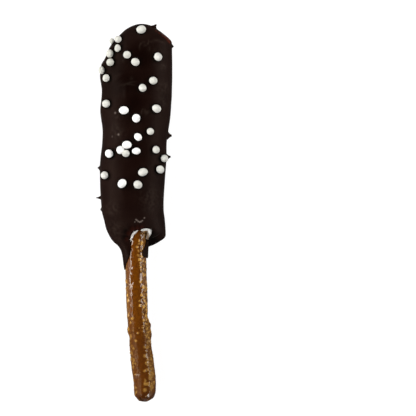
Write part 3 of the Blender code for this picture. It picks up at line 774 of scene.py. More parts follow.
def spaced_for_lip(count):
    """Shares of the way to the rim, closer together near it."""
    return 1 - (1 - np.arange(1, count + 1) / count) ** LIP_CROWDING


def level_rows(start, tip_end, tip_rows, body_rows):
    """Distances from the tip to the start of the lip, closer together at the round tip."""
    tip = spaced_for_round_end(start, tip_end, tip_rows)
    return np.concatenate([tip, spaced(tip_end, LIP_START, body_rows)])


def stack_rows(level, lip):
    """Rows of distances for every angle: the level ones, and then those of the lip."""
    return np.concatenate([np.broadcast_to(level[:, None], (len(level), lip.shape[1])), lip])


def chocolate_lip(rims, shares):
    """Rows of distances down the lip: together to where the drips part, then each on to the rim."""
    fork = np.minimum(rims - LEAST_RUN, DRIP_FORK)
    above = np.minimum(shares / FORK_SHARE, 1)[:, None]
    below = np.maximum((shares - FORK_SHARE) / (1 - FORK_SHARE), 0)[:, None]
    return LIP_START + (fork - LIP_START) * above + (rims - fork) * below


def way_out(points):
    """Surface normals of a grid of rows round the rod."""
    round_it = np.roll(points, -1, axis=1) - np.roll(points, 1, axis=1)
    along_it = np.gradient(points, axis=0)
    return unit(np.cross(round_it, along_it))


def to_edge(rim, angles, distances):
    """How far each place is from the rim, over the surface. Places above the lip count as far away."""
    rims = rim(angles)
    away = np.full(distances.shape, FAR_FROM_EDGE)
    for row in np.flatnonzero(distances.max(axis=1) > LIP_START):
        lines = angles * (rod_radius(distances[row].mean()) + SURFACE_HEIGHT)
        across, down = lines[:, None] - lines[None, :-1], distances[row][:, None] - rims[None, :-1]
        run, drop = np.diff(lines), np.diff(rims)
        share = np.clip((across * run + down * drop) / (run ** 2 + drop ** 2), 0, 1)
        away[row] = np.hypot(across - share * run, down - share * drop).min(axis=1)
    return away


def closed_skin(points, first_pole, last_pole):
    """Vertices and faces of a closed skin over rows of points, with a pole at each end."""
    rows, columns = points.shape[:2]
    vertices = np.concatenate([points.reshape(-1, 3), [first_pole], [last_pole]])
    k = np.arange(columns)
    after = (k + 1) % columns
    start = (np.arange(rows - 1) * columns)[:, None]
    quads = np.stack([start + k, start + after, start + columns + after, start + columns + k], axis=-1)
    last = (rows - 1) * columns
    faces = quads.reshape(-1, 4).tolist()
    faces += np.stack([np.full(columns, rows * columns), after, k], axis=-1).tolist()
    faces += np.stack([last + k, last + after, np.full(columns, rows * columns + 1)], axis=-1).tolist()
    return vertices, faces


def add_skin(skin, points, first_pole, last_pole, turned=False):
    """Adds a closed skin to the vertices, faces and masks of another one. Its own masks are 0."""
    vertices, faces, masks = skin
    more, new = closed_skin(points, first_pole, last_pole)
    order = -1 if turned else 1
    faces = faces + [[corner + len(vertices) for corner in face[::order]] for face in new]
    masks = {name: np.concatenate([values, np.zeros(len(more))]) for name, values in masks.items()}
    return np.concatenate([vertices, more]), faces, masks


def make_piece(name, vertices, faces, masks, material):
    """A smooth mesh object in the scene, with one value of each mask for every vertex."""
    data = bpy.data.meshes.new(name)
    data.from_pydata(np.asarray(vertices).tolist(), [], faces)
    data.validate()
    for mask, values in masks.items():
        layer = data.attributes.new(mask, "FLOAT", "POINT")
        layer.data.foreach_set("value", np.asarray(values, dtype=np.float32))
    data.materials.append(material)
    data.shade_smooth()
    piece = bpy.data.objects.new(name, data)
    bpy.context.scene.collection.objects.link(piece)
    return piece


def with_poles(values):
    """A grid of mask values with the first and last row's average for the poles."""
    return np.concatenate([values.reshape(-1), [values[0].mean()], [values[-1].mean()]])


def near_spots(points, spots):
    """1 at the middle of each (x, y, radius) spot, in millimetres from above, falling to 0 at its edge."""
    mask = np.zeros(points.shape[:-1])
    for x, y, radius in spots:
        away = np.hypot(points[..., 0] - x * MM, points[..., 1] - y * MM) / (radius * MM)
        mask = np.maximum(mask, np.exp(-away ** 2 * SPOT_FALL))
    return mask


def near_places(places, angles, along):
    """1 at the middle of each (degrees, distance, radius) place on the rod, falling to 0 round it."""
    mask = np.zeros(np.broadcast(angles, along).shape)
    for degrees, distance, radius in places:
        across = np.radians(turned_from(angles, degrees)) * ROD_RADIUS
        mask = np.maximum(mask, bell(np.hypot(across, along - distance), radius))
    return mask


def near_arc(points, x, y, radius, first, last, half_width):
    """1 along an arc, in millimetres and degrees as seen from above, falling to 0 at its sides and ends."""
    dx, dy = points[..., 0] / MM - x, points[..., 1] / MM - y
    turn = turned_from(np.arctan2(dy, dx), (first + last) / 2) / ((last - first) / 2)
    return bell(np.hypot(dx, dy) - radius, half_width) * np.clip(1 - turn ** 2, 0, 1)


def chocolate_relief(points, ways, middles, radii, sizes):
    """How far the set chocolate stands out: ripples, dipping arcs, and mounds round the pearls."""
    relief = sizes.ripple_height * clouds(points, RIPPLES)
    shown = np.clip(ways[..., 2] * SWIRL_GAIN, 0, 1)
    for *arc, height, half_width in SWIRLS:
        relief += height * MM * near_arc(points, *arc, half_width) * shown
    for middle, radius in zip(middles, radii):
        gap = np.maximum(np.linalg.norm(points - middle, axis=-1) - radius, 0)
        relief += sizes.mound_height * bell(gap, sizes.mound_width)
    return relief


def faint_smudges_and_sheens(points):
    """Patchy smudges, and thin lines that fade at both ends, from 0 to 1 as seen from above: partly a painted
    sheen.
    """
    mask = near_spots(points, SMUDGES_AND_SHEENS) * patchy(points, *SMUDGE_PATCHES)
    for arc in WISPS:
        mask = np.maximum(mask, near_arc(points, *arc, WISP_WIDTH))
    return mask


def pearl_shadow_rings(points, ways, middles, radii, sizes):
    """A painted shadow: 1 close round each pearl, wider towards the middle of the food, falling to 0 further
    out.
    """
    mask = np.zeros(points.shape[:-1])
    for middle, radius in zip(middles, radii):
        away = points - middle * (SHADOW_RING_INWARD, 1, 1)
        gap = np.maximum(np.hypot(away[..., 0], away[..., 1]) - radius, 0)
        mask = np.maximum(mask, bell(gap, sizes.shadow_ring_width))
    return mask * np.clip(ways[..., 2] * SHOWN_GAIN, 0, 1)


def grainy_lump(angles, along):
    """1 on the grainy lump at the front of the rod, falling to 0 round it."""
    degrees, place, half_width, half_length = GRAINY_LUMP
    return np.exp(-np.hypot(turned_from(angles, degrees) / half_width, (along - place) / half_length) ** 4)


def add_grain_group():
    """A node group that breaks up a colour: soft mottling and a fine grain, both from 0 to 1."""
    group = bpy.data.node_groups.new("food_grain", "ShaderNodeTree")
    sockets = group.interface
    sockets.new_socket(name="Place", in_out="INPUT", socket_type="NodeSocketVector")
    for label, start in (("Mottle Scale", 100.0), ("Grain Scale", 1500.0)):
        socket = sockets.new_socket(name=label, in_out="INPUT", socket_type="NodeSocketFloat")
        socket.default_value = start
    for label in ("Mottle", "Grain"):
        sockets.new_socket(name=label, in_out="OUTPUT", socket_type="NodeSocketFloat")
    nodes, link = group.nodes, group.links.new
    entry, leaving = nodes.new("NodeGroupInput"), nodes.new("NodeGroupOutput")
    for scale, result, detail in (("Mottle Scale", "Mottle", 3.0), ("Grain Scale", "Grain", 2.0)):
        texture = nodes.new("ShaderNodeTexNoise")
        texture.inputs["Detail"].default_value = detail
        link(entry.outputs["Place"], texture.inputs["Vector"])
        link(entry.outputs[scale], texture.inputs["Scale"])
        stretch = nodes.new("ShaderNodeMapRange")
        stretch.inputs["From Min"].default_value = 0.3
        stretch.inputs["From Max"].default_value = 0.7
        link(texture.outputs["Fac"], stretch.inputs["Value"])
        link(stretch.outputs["Result"], leaving.inputs[result])
    return group


class Finish:
    """Builds a material step by step round one Principled shader."""

    def __init__(self, name):
        self.material = bpy.data.materials.new(name)
        self.material.use_nodes = True
        self.nodes = self.material.node_tree.nodes
        self.link = self.material.node_tree.links.new
        self.shader = self.nodes["Principled BSDF"]
        self.place = self.nodes.new("ShaderNodeTexCoord").outputs["Object"]

    def set(self, **values):
        for socket, value in values.items():
            self.shader.inputs[socket.replace("_", " ")].default_value = value

    def grain(self, mottle_scale, grain_scale):
        group = bpy.data.node_groups.get("food_grain") or add_grain_group()
        node = self.nodes.new("ShaderNodeGroup")
        node.node_tree = group
        node.inputs["Mottle Scale"].default_value = mottle_scale
        node.inputs["Grain Scale"].default_value = grain_scale
        self.link(self.place, node.inputs["Place"])
        return node.outputs["Mottle"], node.outputs["Grain"]

    def mask(self, name):
        node = self.nodes.new("ShaderNodeAttribute")
        node.attribute_name = name
        return node.outputs["Fac"]

    def blend(self, share, first, second):
        """A colour between two colours or colour sockets."""
        node = self.nodes.new("ShaderNodeMix")
        node.data_type = "RGBA"
        self.link(share, node.inputs["Factor"])
        for socket, colour in ((node.inputs[6], first), (node.inputs[7], second)):
            if isinstance(colour, bpy.types.NodeSocket):
                self.link(colour, socket)
            else:
                socket.default_value = (*colour, 1)
        return node.outputs[2]

    def span(self, value, low, high, from_low=0.0, from_high=1.0):
        """Stretches a value from one range to another, and stops at its ends."""
        node = self.nodes.new("ShaderNodeMapRange")
        limits = {"From Min": from_low, "From Max": from_high, "To Min": low, "To Max": high}
        for label, amount in limits.items():
            node.inputs[label].default_value = amount
        self.link(value, node.inputs["Value"])
        return node.outputs["Result"]

    def sum(self, operation, *values):
        node = self.nodes.new("ShaderNodeMath")
        node.operation = operation
        for socket, value in zip(node.inputs, values):
            if isinstance(value, bpy.types.NodeSocket):
                self.link(value, socket)
            else:
                socket.default_value = value
        return node.outputs[0]

    def feed(self, **sockets):
        for socket, value in sockets.items():
            self.link(value, self.shader.inputs[socket.replace("_", " ")])

    def bump(self, height, depth):
        node = self.nodes.new("ShaderNodeBump")
        node.inputs["Distance"].default_value = depth
        node.inputs["Strength"].default_value = 1.0
        self.link(height, node.inputs["Height"])
        self.link(node.outputs["Normal"], self.shader.inputs["Normal"])


def chocolate_finish(colours):
    finish = Finish("dark_chocolate")
    mottle, grain = finish.grain(95.0, 1700.0)
    dull_shade = finish.mask("dulled")
    polished = finish.mask("polished")
    # Less of the lighter mottle where the top faces up: a painted shade that darkens the top.
    thin = finish.sum("MULTIPLY", mottle, finish.span(polished, 1.0, 0.35))
    colour = finish.blend(thin, colours.chocolate, colours.chocolate_thin)
    # Smudges and thin lines, partly a painted sheen.
    colour = finish.blend(finish.span(finish.mask("marked"), 0.0, 0.5), colour, colours.chocolate_smudge_and_sheen)
    colour = finish.blend(finish.mask("rubbed"), colour, colours.chocolate_worn)
    deep = finish.mask("deep")
    # Painted shade: darker where the top is deep and smooth.
    colour = finish.blend(finish.span(deep, 0.0, 0.45), colour, colours.chocolate_painted_shade)
    # Painted shade, with a duller gloss: rings round the pearls, the lobe's end, the opening's sides and the
    # left side.
    colour = finish.blend(dull_shade, colour, colours.chocolate_painted_shade)
    # Painted red glint of light through thin chocolate.
    colour = finish.blend(finish.mask("ruddy"), colour, colours.chocolate_red_glint)
    roughness = finish.sum("ADD", finish.span(mottle, 0.52, 0.6), finish.span(dull_shade, 0.0, 0.4))
    roughness = finish.sum("ADD", roughness, finish.span(polished, 0.0, -0.05))
    roughness = finish.sum("ADD", roughness, finish.span(deep, 0.0, -0.2))
    finish.set(Specular_IOR_Level=0.07, Specular_Tint=(1.0, 0.77, 0.66, 1))
    finish.set(Sheen_Weight=0.03, Sheen_Roughness=0.35, Sheen_Tint=(0.8, 0.62, 0.52, 1))
    finish.feed(Base_Color=colour, Roughness=roughness)
    finish.bump(grain, 0.02 * MM)
    return finish.material


def pearl_finish(colours):
    finish = Finish("sugar_pearl")
    mottle, grain = finish.grain(900.0, 3200.0)
    # Painted light and shade: how brightly each pearl is lit.
    colour = finish.blend(finish.mask("brightness"), colours.pearl_grey_and_shade, colours.pearl)
    greyness = finish.span(finish.mask("brightness"), 1.0, 0.1)
    shade = finish.sum("MULTIPLY", finish.span(mottle, 0.0, 0.6), greyness)
    colour = finish.blend(shade, colour, colours.pearl_grey_and_shade)
    finish.set(Specular_IOR_Level=0.3)
    finish.feed(Base_Color=colour, Roughness=finish.span(grain, 0.55, 0.8))
    finish.bump(grain, 0.06 * MM)
    return finish.material


def cream_finish(colours):
    finish = Finish("white_cream")
    mottle, grain = finish.grain(420.0, 2200.0)
    colour = finish.blend(finish.span(mottle, 0.0, 0.4), colours.cream, colours.cream_shade)
    # Painted shade on the cream wall inside the opening's right side.
    colour = finish.blend(finish.mask("shaded"), colour, colours.cream_painted_shade)
    finish.set(Specular_IOR_Level=0.35)
    finish.feed(Base_Color=colour, Roughness=finish.span(grain, 0.5, 0.7))
    finish.bump(mottle, 0.12 * MM)
    return finish.material


def crust_finish(colours):
    finish = Finish("pretzel_crust")
    mottle, grain = finish.grain(620.0, 1900.0)
    raised = finish.mask("raised")
    colour = finish.blend(finish.span(mottle, 0.0, 0.5, 0.35, 1.0), colours.crust, colours.crust_dark)
    pale = finish.sum("MULTIPLY", finish.span(raised, 0.0, 0.9, 0.13, 0.65), finish.span(grain, 0.6, 1.0))
    colour = finish.blend(pale, colour, colours.crust_pale)
    colour = finish.blend(finish.mask("darkened"), colour, colours.crust_dark)
    gloss = finish.sum("ADD", finish.span(raised, 0.13, 0.36), finish.span(finish.mask("dry"), 0.0, 0.26))
    finish.set(Specular_IOR_Level=0.14, Specular_Tint=(1.0, 0.78, 0.5, 1), Coat_Roughness=0.1)
    finish.feed(Coat_Weight=finish.span(finish.mask("dry"), 0.95, 0.0, 0.0, 0.45))
    finish.feed(Base_Color=colour, Roughness=finish.sum("ADD", gloss, finish.span(grain, -0.03, 0.05)))
    finish.bump(finish.sum("MULTIPLY", grain, finish.span(raised, 0.15, 1.0)), 0.03 * MM)
    return finish.material


class PRETZEL_OT_chocolate_shell(Operator):
    """Makes the dark chocolate shell with its open front, drips, tails, ripples and mounds."""

    bl_idname = "pretzel.chocolate_shell"
    bl_label = "Make Chocolate Shell"

    def execute(self, context):
        sizes, colours = context.scene.pretzel_sizes, context.scene.pretzel_colours
        middles, half_sizes, _ = place_pearls()
        radii = half_sizes[:, 2]
        angles = spread_lines(CHOCOLATE_LINES)
        rims = chocolate_rim(angles)
        tip_rows, body_rows, lip_rows = CHOCOLATE_ROWS
        body = level_rows(0, TIP_END, tip_rows, body_rows)
        outer = stack_rows(body, chocolate_lip(rims, spaced_for_lip(lip_rows)))
        tip_rows, body_rows, lip_rows = CHOCOLATE_BACK_ROWS
        back = level_rows(TIP_WALL, BACK_TIP_END, tip_rows, body_rows)
        inner = stack_rows(back, chocolate_lip(rims, spaced_for_lip(lip_rows)[:-1]))[::-1]
        outside = self.shape(angles, outer, True, sizes)
        ways = way_out(outside)
        calm = ramp(to_edge(chocolate_rim, angles, outer), 0, CALM_EDGE)
        relief = chocolate_relief(outside, ways, middles, radii, sizes) * calm
        outside = outside + ways * (relief * ramp(outside[..., 2], 0, CALM_EDGE))[..., None]
        # A painted shadow ring round each pearl, darker and duller.
        shadow_rings = pearl_shadow_rings(outside, ways, middles, radii, sizes)
        points = np.concatenate([outside, self.shape(angles, inner, False, sizes)])
        masks = self.marks(points, ways[..., 2], shadow_rings)
        vertices, faces = closed_skin(points, point_at(0, 0.0, 0.0), point_at(0, TIP_WALL, 0.0))
        skin = self.add_tongue((vertices, faces, {name: with_poles(mask) for name, mask in masks.items()}))
        shell = make_piece("chocolate_shell", *self.add_tails(skin), chocolate_finish(colours))
        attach(shell, "root")
        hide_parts("chocolate_coating")
        return {"FINISHED"}

    @staticmethod
    def marks(points, upward, shadow_rings):
        """Masks of the chocolate's marks and of its painted light and shade, from 0 to 1. What is given for
        the outside is 0 on the inside.
        """
        hidden = np.zeros((len(points) - len(upward), points.shape[1]))
        shown = np.concatenate([np.clip(upward * SHOWN_GAIN, 0, 1), hidden])
        polished = np.concatenate([ramp(upward, *POLISHED_FROM), hidden])
        shadow_rings = np.concatenate([shadow_rings, hidden])
        pinholes, scuffs, shoulder, opening, deep, dull_shade, soft = (
            near_spots(points, spots) for spots in
            (PINHOLES, SCUFFS, SHOULDER_GLINT_SPOTS, OPENING_GLINT_SPOTS, DEEP_SHADE_PLACES, PAINTED_SHADE_PLACES, SOFT_SHADE_PLACES))
        upper = ramp(points[..., 2], *UPPER_FROM)
        dulled = np.maximum(shadow_rings, np.minimum(PAINTED_SHADE_STRENGTH * dull_shade, 1))
        # The pale rubbed marks are real wear; the red glint and much of the smudges are painted light, and
        # the darker top, the deep places and the dull rings and spots are painted shade.
        return {"rubbed": np.maximum(PINHOLE_SHARE * pinholes, scuffs) * shown,
                "ruddy": np.maximum(SHOULDER_GLINT_SHARE * shoulder * upper, OPENING_GLINT_SHARE * opening * shown),
                "marked": faint_smudges_and_sheens(points) * shown,
                "polished": polished,
                "deep": deep * shown,
                "dulled": np.maximum(dulled, SOFT_SHADE_SHARE * soft)}

    @staticmethod
    def shape(angles, distances, outside, sizes):
        """The shell's outer or inner face, with a rounded lip, and thin drips that lean in."""
        outer, inner = coat_outside(angles, distances), coat_inside(angles, distances)
        edge = to_edge(chocolate_rim, angles, distances)
        rod = rod_radius(distances)
        on_rod = ramp(distances, DRIP_START, DRIP_RUN)
        inner = inner - np.minimum(inner - rod - DRIP_GAP, GAP - DRIP_GAP) * on_rod
        tongue = ramp(distances, TONGUE_FORK, TONGUE_RUN) * np.clip(TONGUE_SIDE - angles, 0, 1)
        taper = (1 - (1 - ramp(edge, 0, DRIP_TAPER)) ** 2) * (1 - tongue)
        thin = np.minimum(outer, rod + DRIP_GAP + DRIP_WALL + (TONGUE_WALL - DRIP_WALL) * tongue)
        outer = outer + (thin + (outer - thin) * taper - outer) * on_rod
        middle = inner + (outer - inner) * WALL_MIDDLE
        radius = middle + ((outer if outside else inner) - middle) * round_over(edge / sizes.lip_roundness)
        return point_at(angles, distances, radius)

    @staticmethod
    def add_tongue(skin):
        """The blunt tongue of the right drip, thick at its foot and rounded at its edge."""
        rows = np.linspace(TONGUE_START, TONGUE_END, TONGUE_ROWS)[:, None]
        share = 1 - (1 - np.arange(TONGUE_LINES) / (TONGUE_LINES - 1)) ** LIP_CROWDING
        reach = tongue_edge(rows) - TONGUE_FOOT
        base = rod_radius(rows) + DRIP_GAP
        to_side = np.radians(reach * (1 - share)) * base
        swell = TONGUE_WALL * round_over(np.minimum(to_side, TONGUE_END - rows) / TONGUE_ROUNDING)
        middle = base + WALL_MIDDLE * TONGUE_WALL
        angles = np.radians(TONGUE_FOOT + reach * share)
        outer = point_at(angles, rows, middle + (1 - WALL_MIDDLE) * swell)
        inner = point_at(angles, rows, middle - WALL_MIDDLE * swell)[:, ::-1]
        points = np.concatenate([outer, inner], axis=1)
        return add_skin(skin, points, points[0].mean(axis=0), points[-1].mean(axis=0))

    @staticmethod
    def add_tails(skin):
        """Short pulled peaks of chocolate that flare into the shell."""
        dice = random.Random(SEED + 1)
        share = np.arange(TAIL_RINGS)[:, None] / (TAIL_RINGS - 1)
        turn = math.tau * np.arange(TAIL_SIDES) / TAIL_SIDES
        blunt = round_over((1 - share) * TAIL_BLUNTNESS)
        for degrees, distance, length, half_width in TAILS:
            angle, distance = math.radians(degrees), distance * MM
            foot = coat_point(angle, distance)
            out = coat_normal(angle, distance)
            side = unit(np.cross(out, (0, 1, 0) if abs(out[1]) < 0.9 else (1, 0, 0)))
            other = np.cross(out, side)
            lean = [dice.uniform(-TAIL_LEAN, TAIL_LEAN) * length for _ in range(2)]
            height = (length + TAIL_SUNK) * np.sin(share * math.pi / 2) - TAIL_SUNK
            up = np.clip(height / length, 0, 1)
            width = half_width * (TAIL_POINT + (1 - up) ** TAIL_FLARE)
            reach = width * blunt * (1 + TAIL_OVAL * np.sin(2 * turn + degrees))
            across = (reach * np.cos(turn) + lean[0] * up ** 2)[..., None]
            along = (reach * np.sin(turn) + lean[1] * up ** 2)[..., None]
            points = foot + (out * height[..., None] + side * across + other * along) * MM
            top = foot + (out * length + side * lean[0] + other * lean[1]) * MM
            skin = add_skin(skin, points, foot - out * TAIL_SUNK * MM, top, turned=True)
        return skin


class PRETZEL_OT_sugar_pearls(Operator):
    """Makes the white sugar pearls that are set in the chocolate."""

    bl_idname = "pretzel.sugar_pearls"
    bl_label = "Make Sugar Pearls"

    def execute(self, context):
        sizes, colours = context.scene.pretzel_sizes, context.scene.pretzel_colours
        ball = bmesh.new()
        bmesh.ops.create_icosphere(ball, subdivisions=PEARL_FINENESS, radius=1)
        ball.verts.ensure_lookup_table()
        round_points = np.array([vertex.co[:] for vertex in ball.verts])
        round_faces = [[vertex.index for vertex in face.verts] for face in ball.faces]
        ball.free()
        vertices, faces, brightness = [], [], []
        lit_levels = self.pearl_lighting()
        for number, (middle, half_sizes, turn) in enumerate(zip(*place_pearls())):
            dents = sum(depth * cloud(round_points, size, number * seed) for depth, size, seed in PEARL_DENTS)
            points = round_points * half_sizes + round_points * (dents * sizes.pearl_dent)[:, None]
            cosine, sine = math.cos(turn), math.sin(turn)
            turned = np.array([[cosine, sine, 0], [-sine, cosine, 0], [0, 0, 1]])
            first = number * len(round_points)
            vertices.append(points @ turned + middle)
            faces += [[corner + first for corner in face] for face in round_faces]
            brightness += [lit_levels[number]] * len(round_points)
        pearls = make_piece("sugar_pearls", np.concatenate(vertices), faces,
                            {"brightness": brightness}, pearl_finish(colours))
        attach(pearls, "root")
        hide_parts("chocolate_coating")
        return {"FINISHED"}

    @staticmethod
    def pearl_lighting():
        """How brightly each pearl is painted, from 0 to 1: painted light on the brightest, painted shade on
        the greyer, with a little chance.
        """
        dice = random.Random(SEED + 2)
        lit_levels = []
        for handful, places in PEARLS.items():
            usual = SHADED_PEARL if handful == SHADED_HANDFUL else USUAL_PEARL
            lit_levels += [1.0 if pearl[:2] in BRIGHT_LIT_PEARLS else usual + dice.uniform(-PEARL_CHANCE, PEARL_CHANCE)
                      for pearl in places]
        return lit_levels


class PRETZEL_OT_white_cream(Operator):
    """Makes the white cream round the rod, which shows inside the chocolate's open end."""

    bl_idname = "pretzel.white_cream"
    bl_label = "Make White Cream"

    def execute(self, context):
        angles = spread_lines(CREAM_LINES)
        lip_run = cream_end(angles) - LIP_START
        tip = TIP_WALL + 2 * GAP
        bore_end = ROD_HIDDEN_END - GAP
        tip_rows, body_rows, lip_rows = CREAM_ROWS
        bore_rows, bore_lip_rows = CREAM_BORE_ROWS
        body = level_rows(tip, BACK_TIP_END, tip_rows, body_rows)
        outer = stack_rows(body, LIP_START + lip_run * spaced_for_lip(lip_rows)[:, None])
        bore = np.concatenate([[bore_end + GAP], spaced(bore_end, LIP_START, bore_rows)])
        inner = stack_rows(bore, LIP_START + lip_run * spaced_for_lip(bore_lip_rows)[:-1, None])[::-1]
        thickness = cream_outside(angles, outer) - cream_inside(angles, outer)
        thickness = thickness + CREAM_SWELL * self.beyond_chocolate(angles, outer)
        roundness = round_over(to_edge(cream_end, angles, outer) / CREAM_ROUNDING)
        standing = thickness * (CREAM_EDGE + (1 - CREAM_EDGE) * roundness)
        outside = point_at(angles, outer, cream_inside(angles, outer) + standing)
        relief = clouds(outside, CREAM_LUMPS) - CREAM_SINK
        outside = outside + way_out(outside) * (relief * ramp(outer, LIP_START, CREAM_LUMPS_RUN))[..., None]
        points = np.concatenate([outside, point_at(angles, inner, cream_inside(angles, inner))])
        vertices, faces = closed_skin(points, point_at(0, tip, 0.0), point_at(0, bore_end, 0.0))
        # Painted shade on the cream wall inside the opening's right side.
        masks = {"shaded": with_poles(np.minimum(WALL_SHADE_STRENGTH * near_spots(points, SHADED_WALL_SPOTS), 1))}
        finish = cream_finish(context.scene.pretzel_colours)
        cream = make_piece("white_cream_layer", vertices, faces, masks, finish)
        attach(cream, "root")
        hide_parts("white_cream")
        return {"FINISHED"}

    @staticmethod
    def beyond_chocolate(angles, distances):
        """1 where the cream is bare at the left of the open front, falling to 0 under the chocolate's lip."""
        return ramp(distances, chocolate_rim(angles), SWELL_FADE) * band(angles, *SWELL_BAND)


class PRETZEL_OT_baked_rod(Operator):
    """Makes the baked rod with its blistered crust, burnt in places and darker down to its end."""

    bl_idname = "pretzel.baked_rod"
    bl_label = "Make Baked Rod"

    def execute(self, context):
        sizes = context.scene.pretzel_sizes
        angles = math.tau * np.arange(ROD_LINES) / ROD_LINES
        hidden_round = ROD_HIDDEN_END + ROD_END_ROUNDING
        end_rows, hidden_rows, shown_rows, bare_end_rows = ROD_ROWS
        rows = np.concatenate([
            spaced_for_round_end(ROD_HIDDEN_END, hidden_round, end_rows),
            spaced(hidden_round, LIP_START, hidden_rows),
            spaced(LIP_START, TOTAL_LENGTH - ROD_END_ROUNDING, shown_rows),
            TOTAL_LENGTH - spaced_for_round_end(0.0, ROD_END_ROUNDING, bare_end_rows)[:-1][::-1]])
        distances = np.broadcast_to(rows[:, None], (len(rows), len(angles)))
        smooth = point_at(angles, distances, rod_outside(angles, distances))
        raised, lift, cracks = self.crust_relief(smooth, angles, distances, sizes)
        bare = ramp(distances, RELIEF_START, RELIEF_RUN)
        near_end = round_over((TOTAL_LENGTH - distances) / RELIEF_END)
        points = smooth + way_out(smooth) * (lift * bare * near_end)[..., None]
        darkened = np.maximum(self.scorch(points, angles, distances), CRACK_SCORCH * cracks)
        poles = [point_at(0, end, 0.0) for end in (ROD_HIDDEN_END, TOTAL_LENGTH)]
        vertices, faces = closed_skin(points, *poles)
        masks = {"raised": raised, "darkened": darkened, "dry": self.dryness(smooth, angles, distances)}
        masks = {name: with_poles(values) for name, values in masks.items()}
        rod = make_piece("baked_rod", vertices, faces, masks, crust_finish(context.scene.pretzel_colours))
        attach(rod, "root")
        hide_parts("pretzel_rod")
        return {"FINISHED"}

    @staticmethod
    def dryness(points, angles, distances):
        """Where the crust has no gloss: down the lower rod, but not along its front."""
        lower = ramp(distances / MM, *DRY_FROM) * patchy(points, *DRY_PATCHES)
        return lower * ramp(np.abs(turned_from(angles, GLOSS_LINE)), *GLOSS_SIDES)

    @staticmethod
    def crust_relief(points, angles, distances, sizes):
        """Granules in patches down both flanks and on the lump, and a smooth band down the front."""
        along = distances / MM
        right, left, back, front, streak = (band(angles, *where) for where in CRUST_BANDS)
        front = FRONT_SHARE * front * ramp(FRONT_END - along, 0, FRONT_FADE)
        lump = grainy_lump(angles, along)
        flank = np.clip(right + LEFT_SHARE * left * ramp(along, *LEFT_FROM) + BACK_SHARE * back, 0, 1)
        share = np.clip(np.maximum(flank * patchy(points, *GRAIN_PATCHES) + front, lump), 0, MOST_GRAINS)
        pushed = np.stack([cloud(points, PUSH_SIZE, seed) for seed in PUSH_SEEDS], axis=-1)
        bent = points + pushed * PUSH
        large, cracks = granules(bent, sizes.granule_size, share)
        small_share = SMALL_LEAST + SMALL_MORE * share
        small = granules(bent, sizes.granule_size * SMALL_SIZE, small_share, SMALL_SEED)[0] * (0.3 + share)
        golden = near_places(GOLDEN_PATCHES, angles, along)
        # The paler left flank: partly golden crust, partly a painted sheen from the light at that side.
        tan_and_sheen = left * (0.8 + 0.5 * cloud(points, 2 * MM, 7.5)) * (1 - 0.6 * ramp(along, *TAN_SHEEN_FADE))
        raised = 0.15 * tan_and_sheen + 0.18 * flank + 1.4 * large + 0.2 * small + 0.9 * golden
        lift = sizes.granule_height * (large + 0.2 * small + 0.4 * golden)
        end = ramp(along, *END_LUMPS_FROM)
        fine = FINE_LEAST + FINE_MORE * ramp(along, *FINE_FROM) * left
        places = {"all over": 0.4 + 0.6 * flank, "fine": fine, "streak": streak, "lump": lump, "end": end}
        for where, height, size, seed in CRUST_SWELLS:
            lift += height * MM * cloud(points, size * MM, seed) * places[where]
        lift += END_SWELL * end - NOTCH_DEPTH * near_places(NOTCHES, angles, along)
        return np.clip(raised, 0, 1), lift, cracks

    @staticmethod
    def scorch(points, angles, distances):
        """Dark places: the burnt bump at the left edge, the lower rod, and most of all its end."""
        along = distances / MM
        end = END_DARKENING * ramp(along, *END_DARKENING_FROM) * patchy(points, *SCORCH_PATCHES)
        lower = LOWER_DARKENING * ramp(along, *LOWER_DARKENING_FROM)
        return np.maximum(np.maximum(end, lower), near_places(SCORCHES + NOTCHES, angles, along))


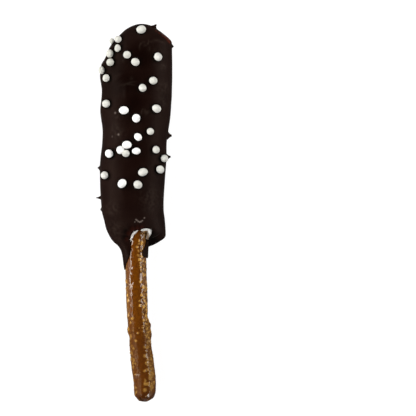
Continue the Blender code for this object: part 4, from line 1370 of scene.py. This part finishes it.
class PRETZEL_OT_stage(Operator):
    """Sets up the pale floor, the soft lights at both sides and both ends, the room and the camera."""

    bl_idname = "pretzel.stage"
    bl_label = "Set Up Stage"

    def execute(self, context):
        studio = context.scene.pretzel_studio
        self.make_floor(studio)
        self.make_room(context.scene, studio)
        for name, degrees, kind, share, *place in LIGHTS:
            light = self.make_light(name, degrees, getattr(studio, kind + "_brightness") * share, *place)
            if kind == "strip":
                light.data.color = studio.strip_colour
            light.visible_glossy = kind != "panel"
            light.visible_diffuse = name != "right_foot"
        self.make_camera(context.scene)
        return {"FINISHED"}

    @staticmethod
    def make_floor(studio):
        data = bpy.data.meshes.new("floor")
        corners = [(x * FLOOR_REACH, y * FLOOR_REACH, 0) for x, y in ((-1, -1), (1, -1), (1, 1), (-1, 1))]
        data.from_pydata(corners, [], [(0, 1, 2, 3)])
        floor = bpy.data.objects.new("floor", data)
        floor.location.z = -FLOOR_DROP
        bpy.context.scene.collection.objects.link(floor)
        finish = Finish("pale_floor")
        seen = finish.nodes.new("ShaderNodeLightPath").outputs["Is Camera Ray"]
        shade = tuple(channel * FLOOR_SHADE for channel in studio.floor)
        finish.set(Base_Color=(*shade, 1), Roughness=0.9, Specular_IOR_Level=0.1)
        finish.set(Emission_Color=(*studio.floor, 1))
        finish.link(finish.span(seen, 0.0, 1.0), finish.shader.inputs["Emission Strength"])
        data.materials.append(finish.material)

    @staticmethod
    def make_room(scene, studio):
        world = bpy.data.worlds.new("room")
        world.use_nodes = True
        nodes, link = world.node_tree.nodes, world.node_tree.links.new
        ground = nodes["Background"]
        ground.inputs["Color"].default_value = (1, 1, 1, 1)
        seen = nodes.new("ShaderNodeLightPath").outputs["Is Camera Ray"]
        strength = nodes.new("ShaderNodeMapRange")
        strength.inputs["To Min"].default_value = studio.room_brightness
        strength.inputs["To Max"].default_value = 1.0
        link(seen, strength.inputs["Value"])
        link(strength.outputs["Result"], ground.inputs["Strength"])
        scene.world = world
        scene.view_settings.view_transform = "Standard"

    @staticmethod
    def make_light(name, degrees, brightness, away, width, length, ahead):
        """A long soft light that many degrees from overhead, running along the rod."""
        data = bpy.data.lights.new(name, "AREA")
        data.shape = "RECTANGLE"
        data.size, data.size_y = length, width
        data.energy = brightness * math.pi * length * width
        light = bpy.data.objects.new(name, data)
        turn = math.radians(degrees)
        light.location = (away * math.sin(turn), 0, away * math.cos(turn))
        light.rotation_euler = (-light.location).to_track_quat("-Z", "Y").to_euler()
        light.location.y = ahead
        light.visible_camera = False
        bpy.context.scene.collection.objects.link(light)
        return light

    @staticmethod
    def make_camera(scene):
        """Straight above, with the photograph's framing."""
        data = bpy.data.cameras.new("camera")
        data.lens, data.sensor_width, data.clip_end = LENS, SENSOR_WIDTH, CLIP_END
        camera = bpy.data.objects.new("camera", data)
        camera.location = (*CAMERA_SPOT, FOCUS_HEIGHT + FRAME_WIDTH * LENS / SENSOR_WIDTH)
        bpy.context.scene.collection.objects.link(camera)
        scene.camera = camera


class PRETZEL_PT_panel(Panel):
    """Lists the sizes, colours and makers of the dipped pretzel rod."""

    bl_idname = "PRETZEL_PT_panel"
    bl_label = "Dipped Pretzel Rod"
    bl_space_type = "VIEW_3D"
    bl_region_type = "UI"
    bl_category = "Dipped Pretzel"

    def draw(self, context):
        scene = context.scene
        for operator in OPERATORS:
            self.layout.operator(operator.bl_idname)
        for group in (scene.pretzel_sizes, scene.pretzel_colours, scene.pretzel_studio):
            box = self.layout.box()
            for field in group.__annotations__:
                box.prop(group, field)


OPERATORS = (PRETZEL_OT_chocolate_shell, PRETZEL_OT_sugar_pearls, PRETZEL_OT_white_cream,
             PRETZEL_OT_baked_rod, PRETZEL_OT_stage)
CLASSES = (PretzelSizes, PretzelColours, StudioLight, *OPERATORS, PRETZEL_PT_panel)


def register():
    for item in CLASSES:
        bpy.utils.register_class(item)
    bpy.types.Scene.pretzel_sizes = PointerProperty(type=PretzelSizes)
    bpy.types.Scene.pretzel_colours = PointerProperty(type=PretzelColours)
    bpy.types.Scene.pretzel_studio = PointerProperty(type=StudioLight)


def unregister():
    del bpy.types.Scene.pretzel_studio
    del bpy.types.Scene.pretzel_colours
    del bpy.types.Scene.pretzel_sizes
    for item in reversed(CLASSES):
        bpy.utils.unregister_class(item)


def main():
    register()
    bpy.ops.pretzel.chocolate_shell()
    bpy.ops.pretzel.sugar_pearls()
    bpy.ops.pretzel.white_cream()
    bpy.ops.pretzel.baked_rod()
    bpy.ops.pretzel.stage()


if __name__ == "__main__":
    main()
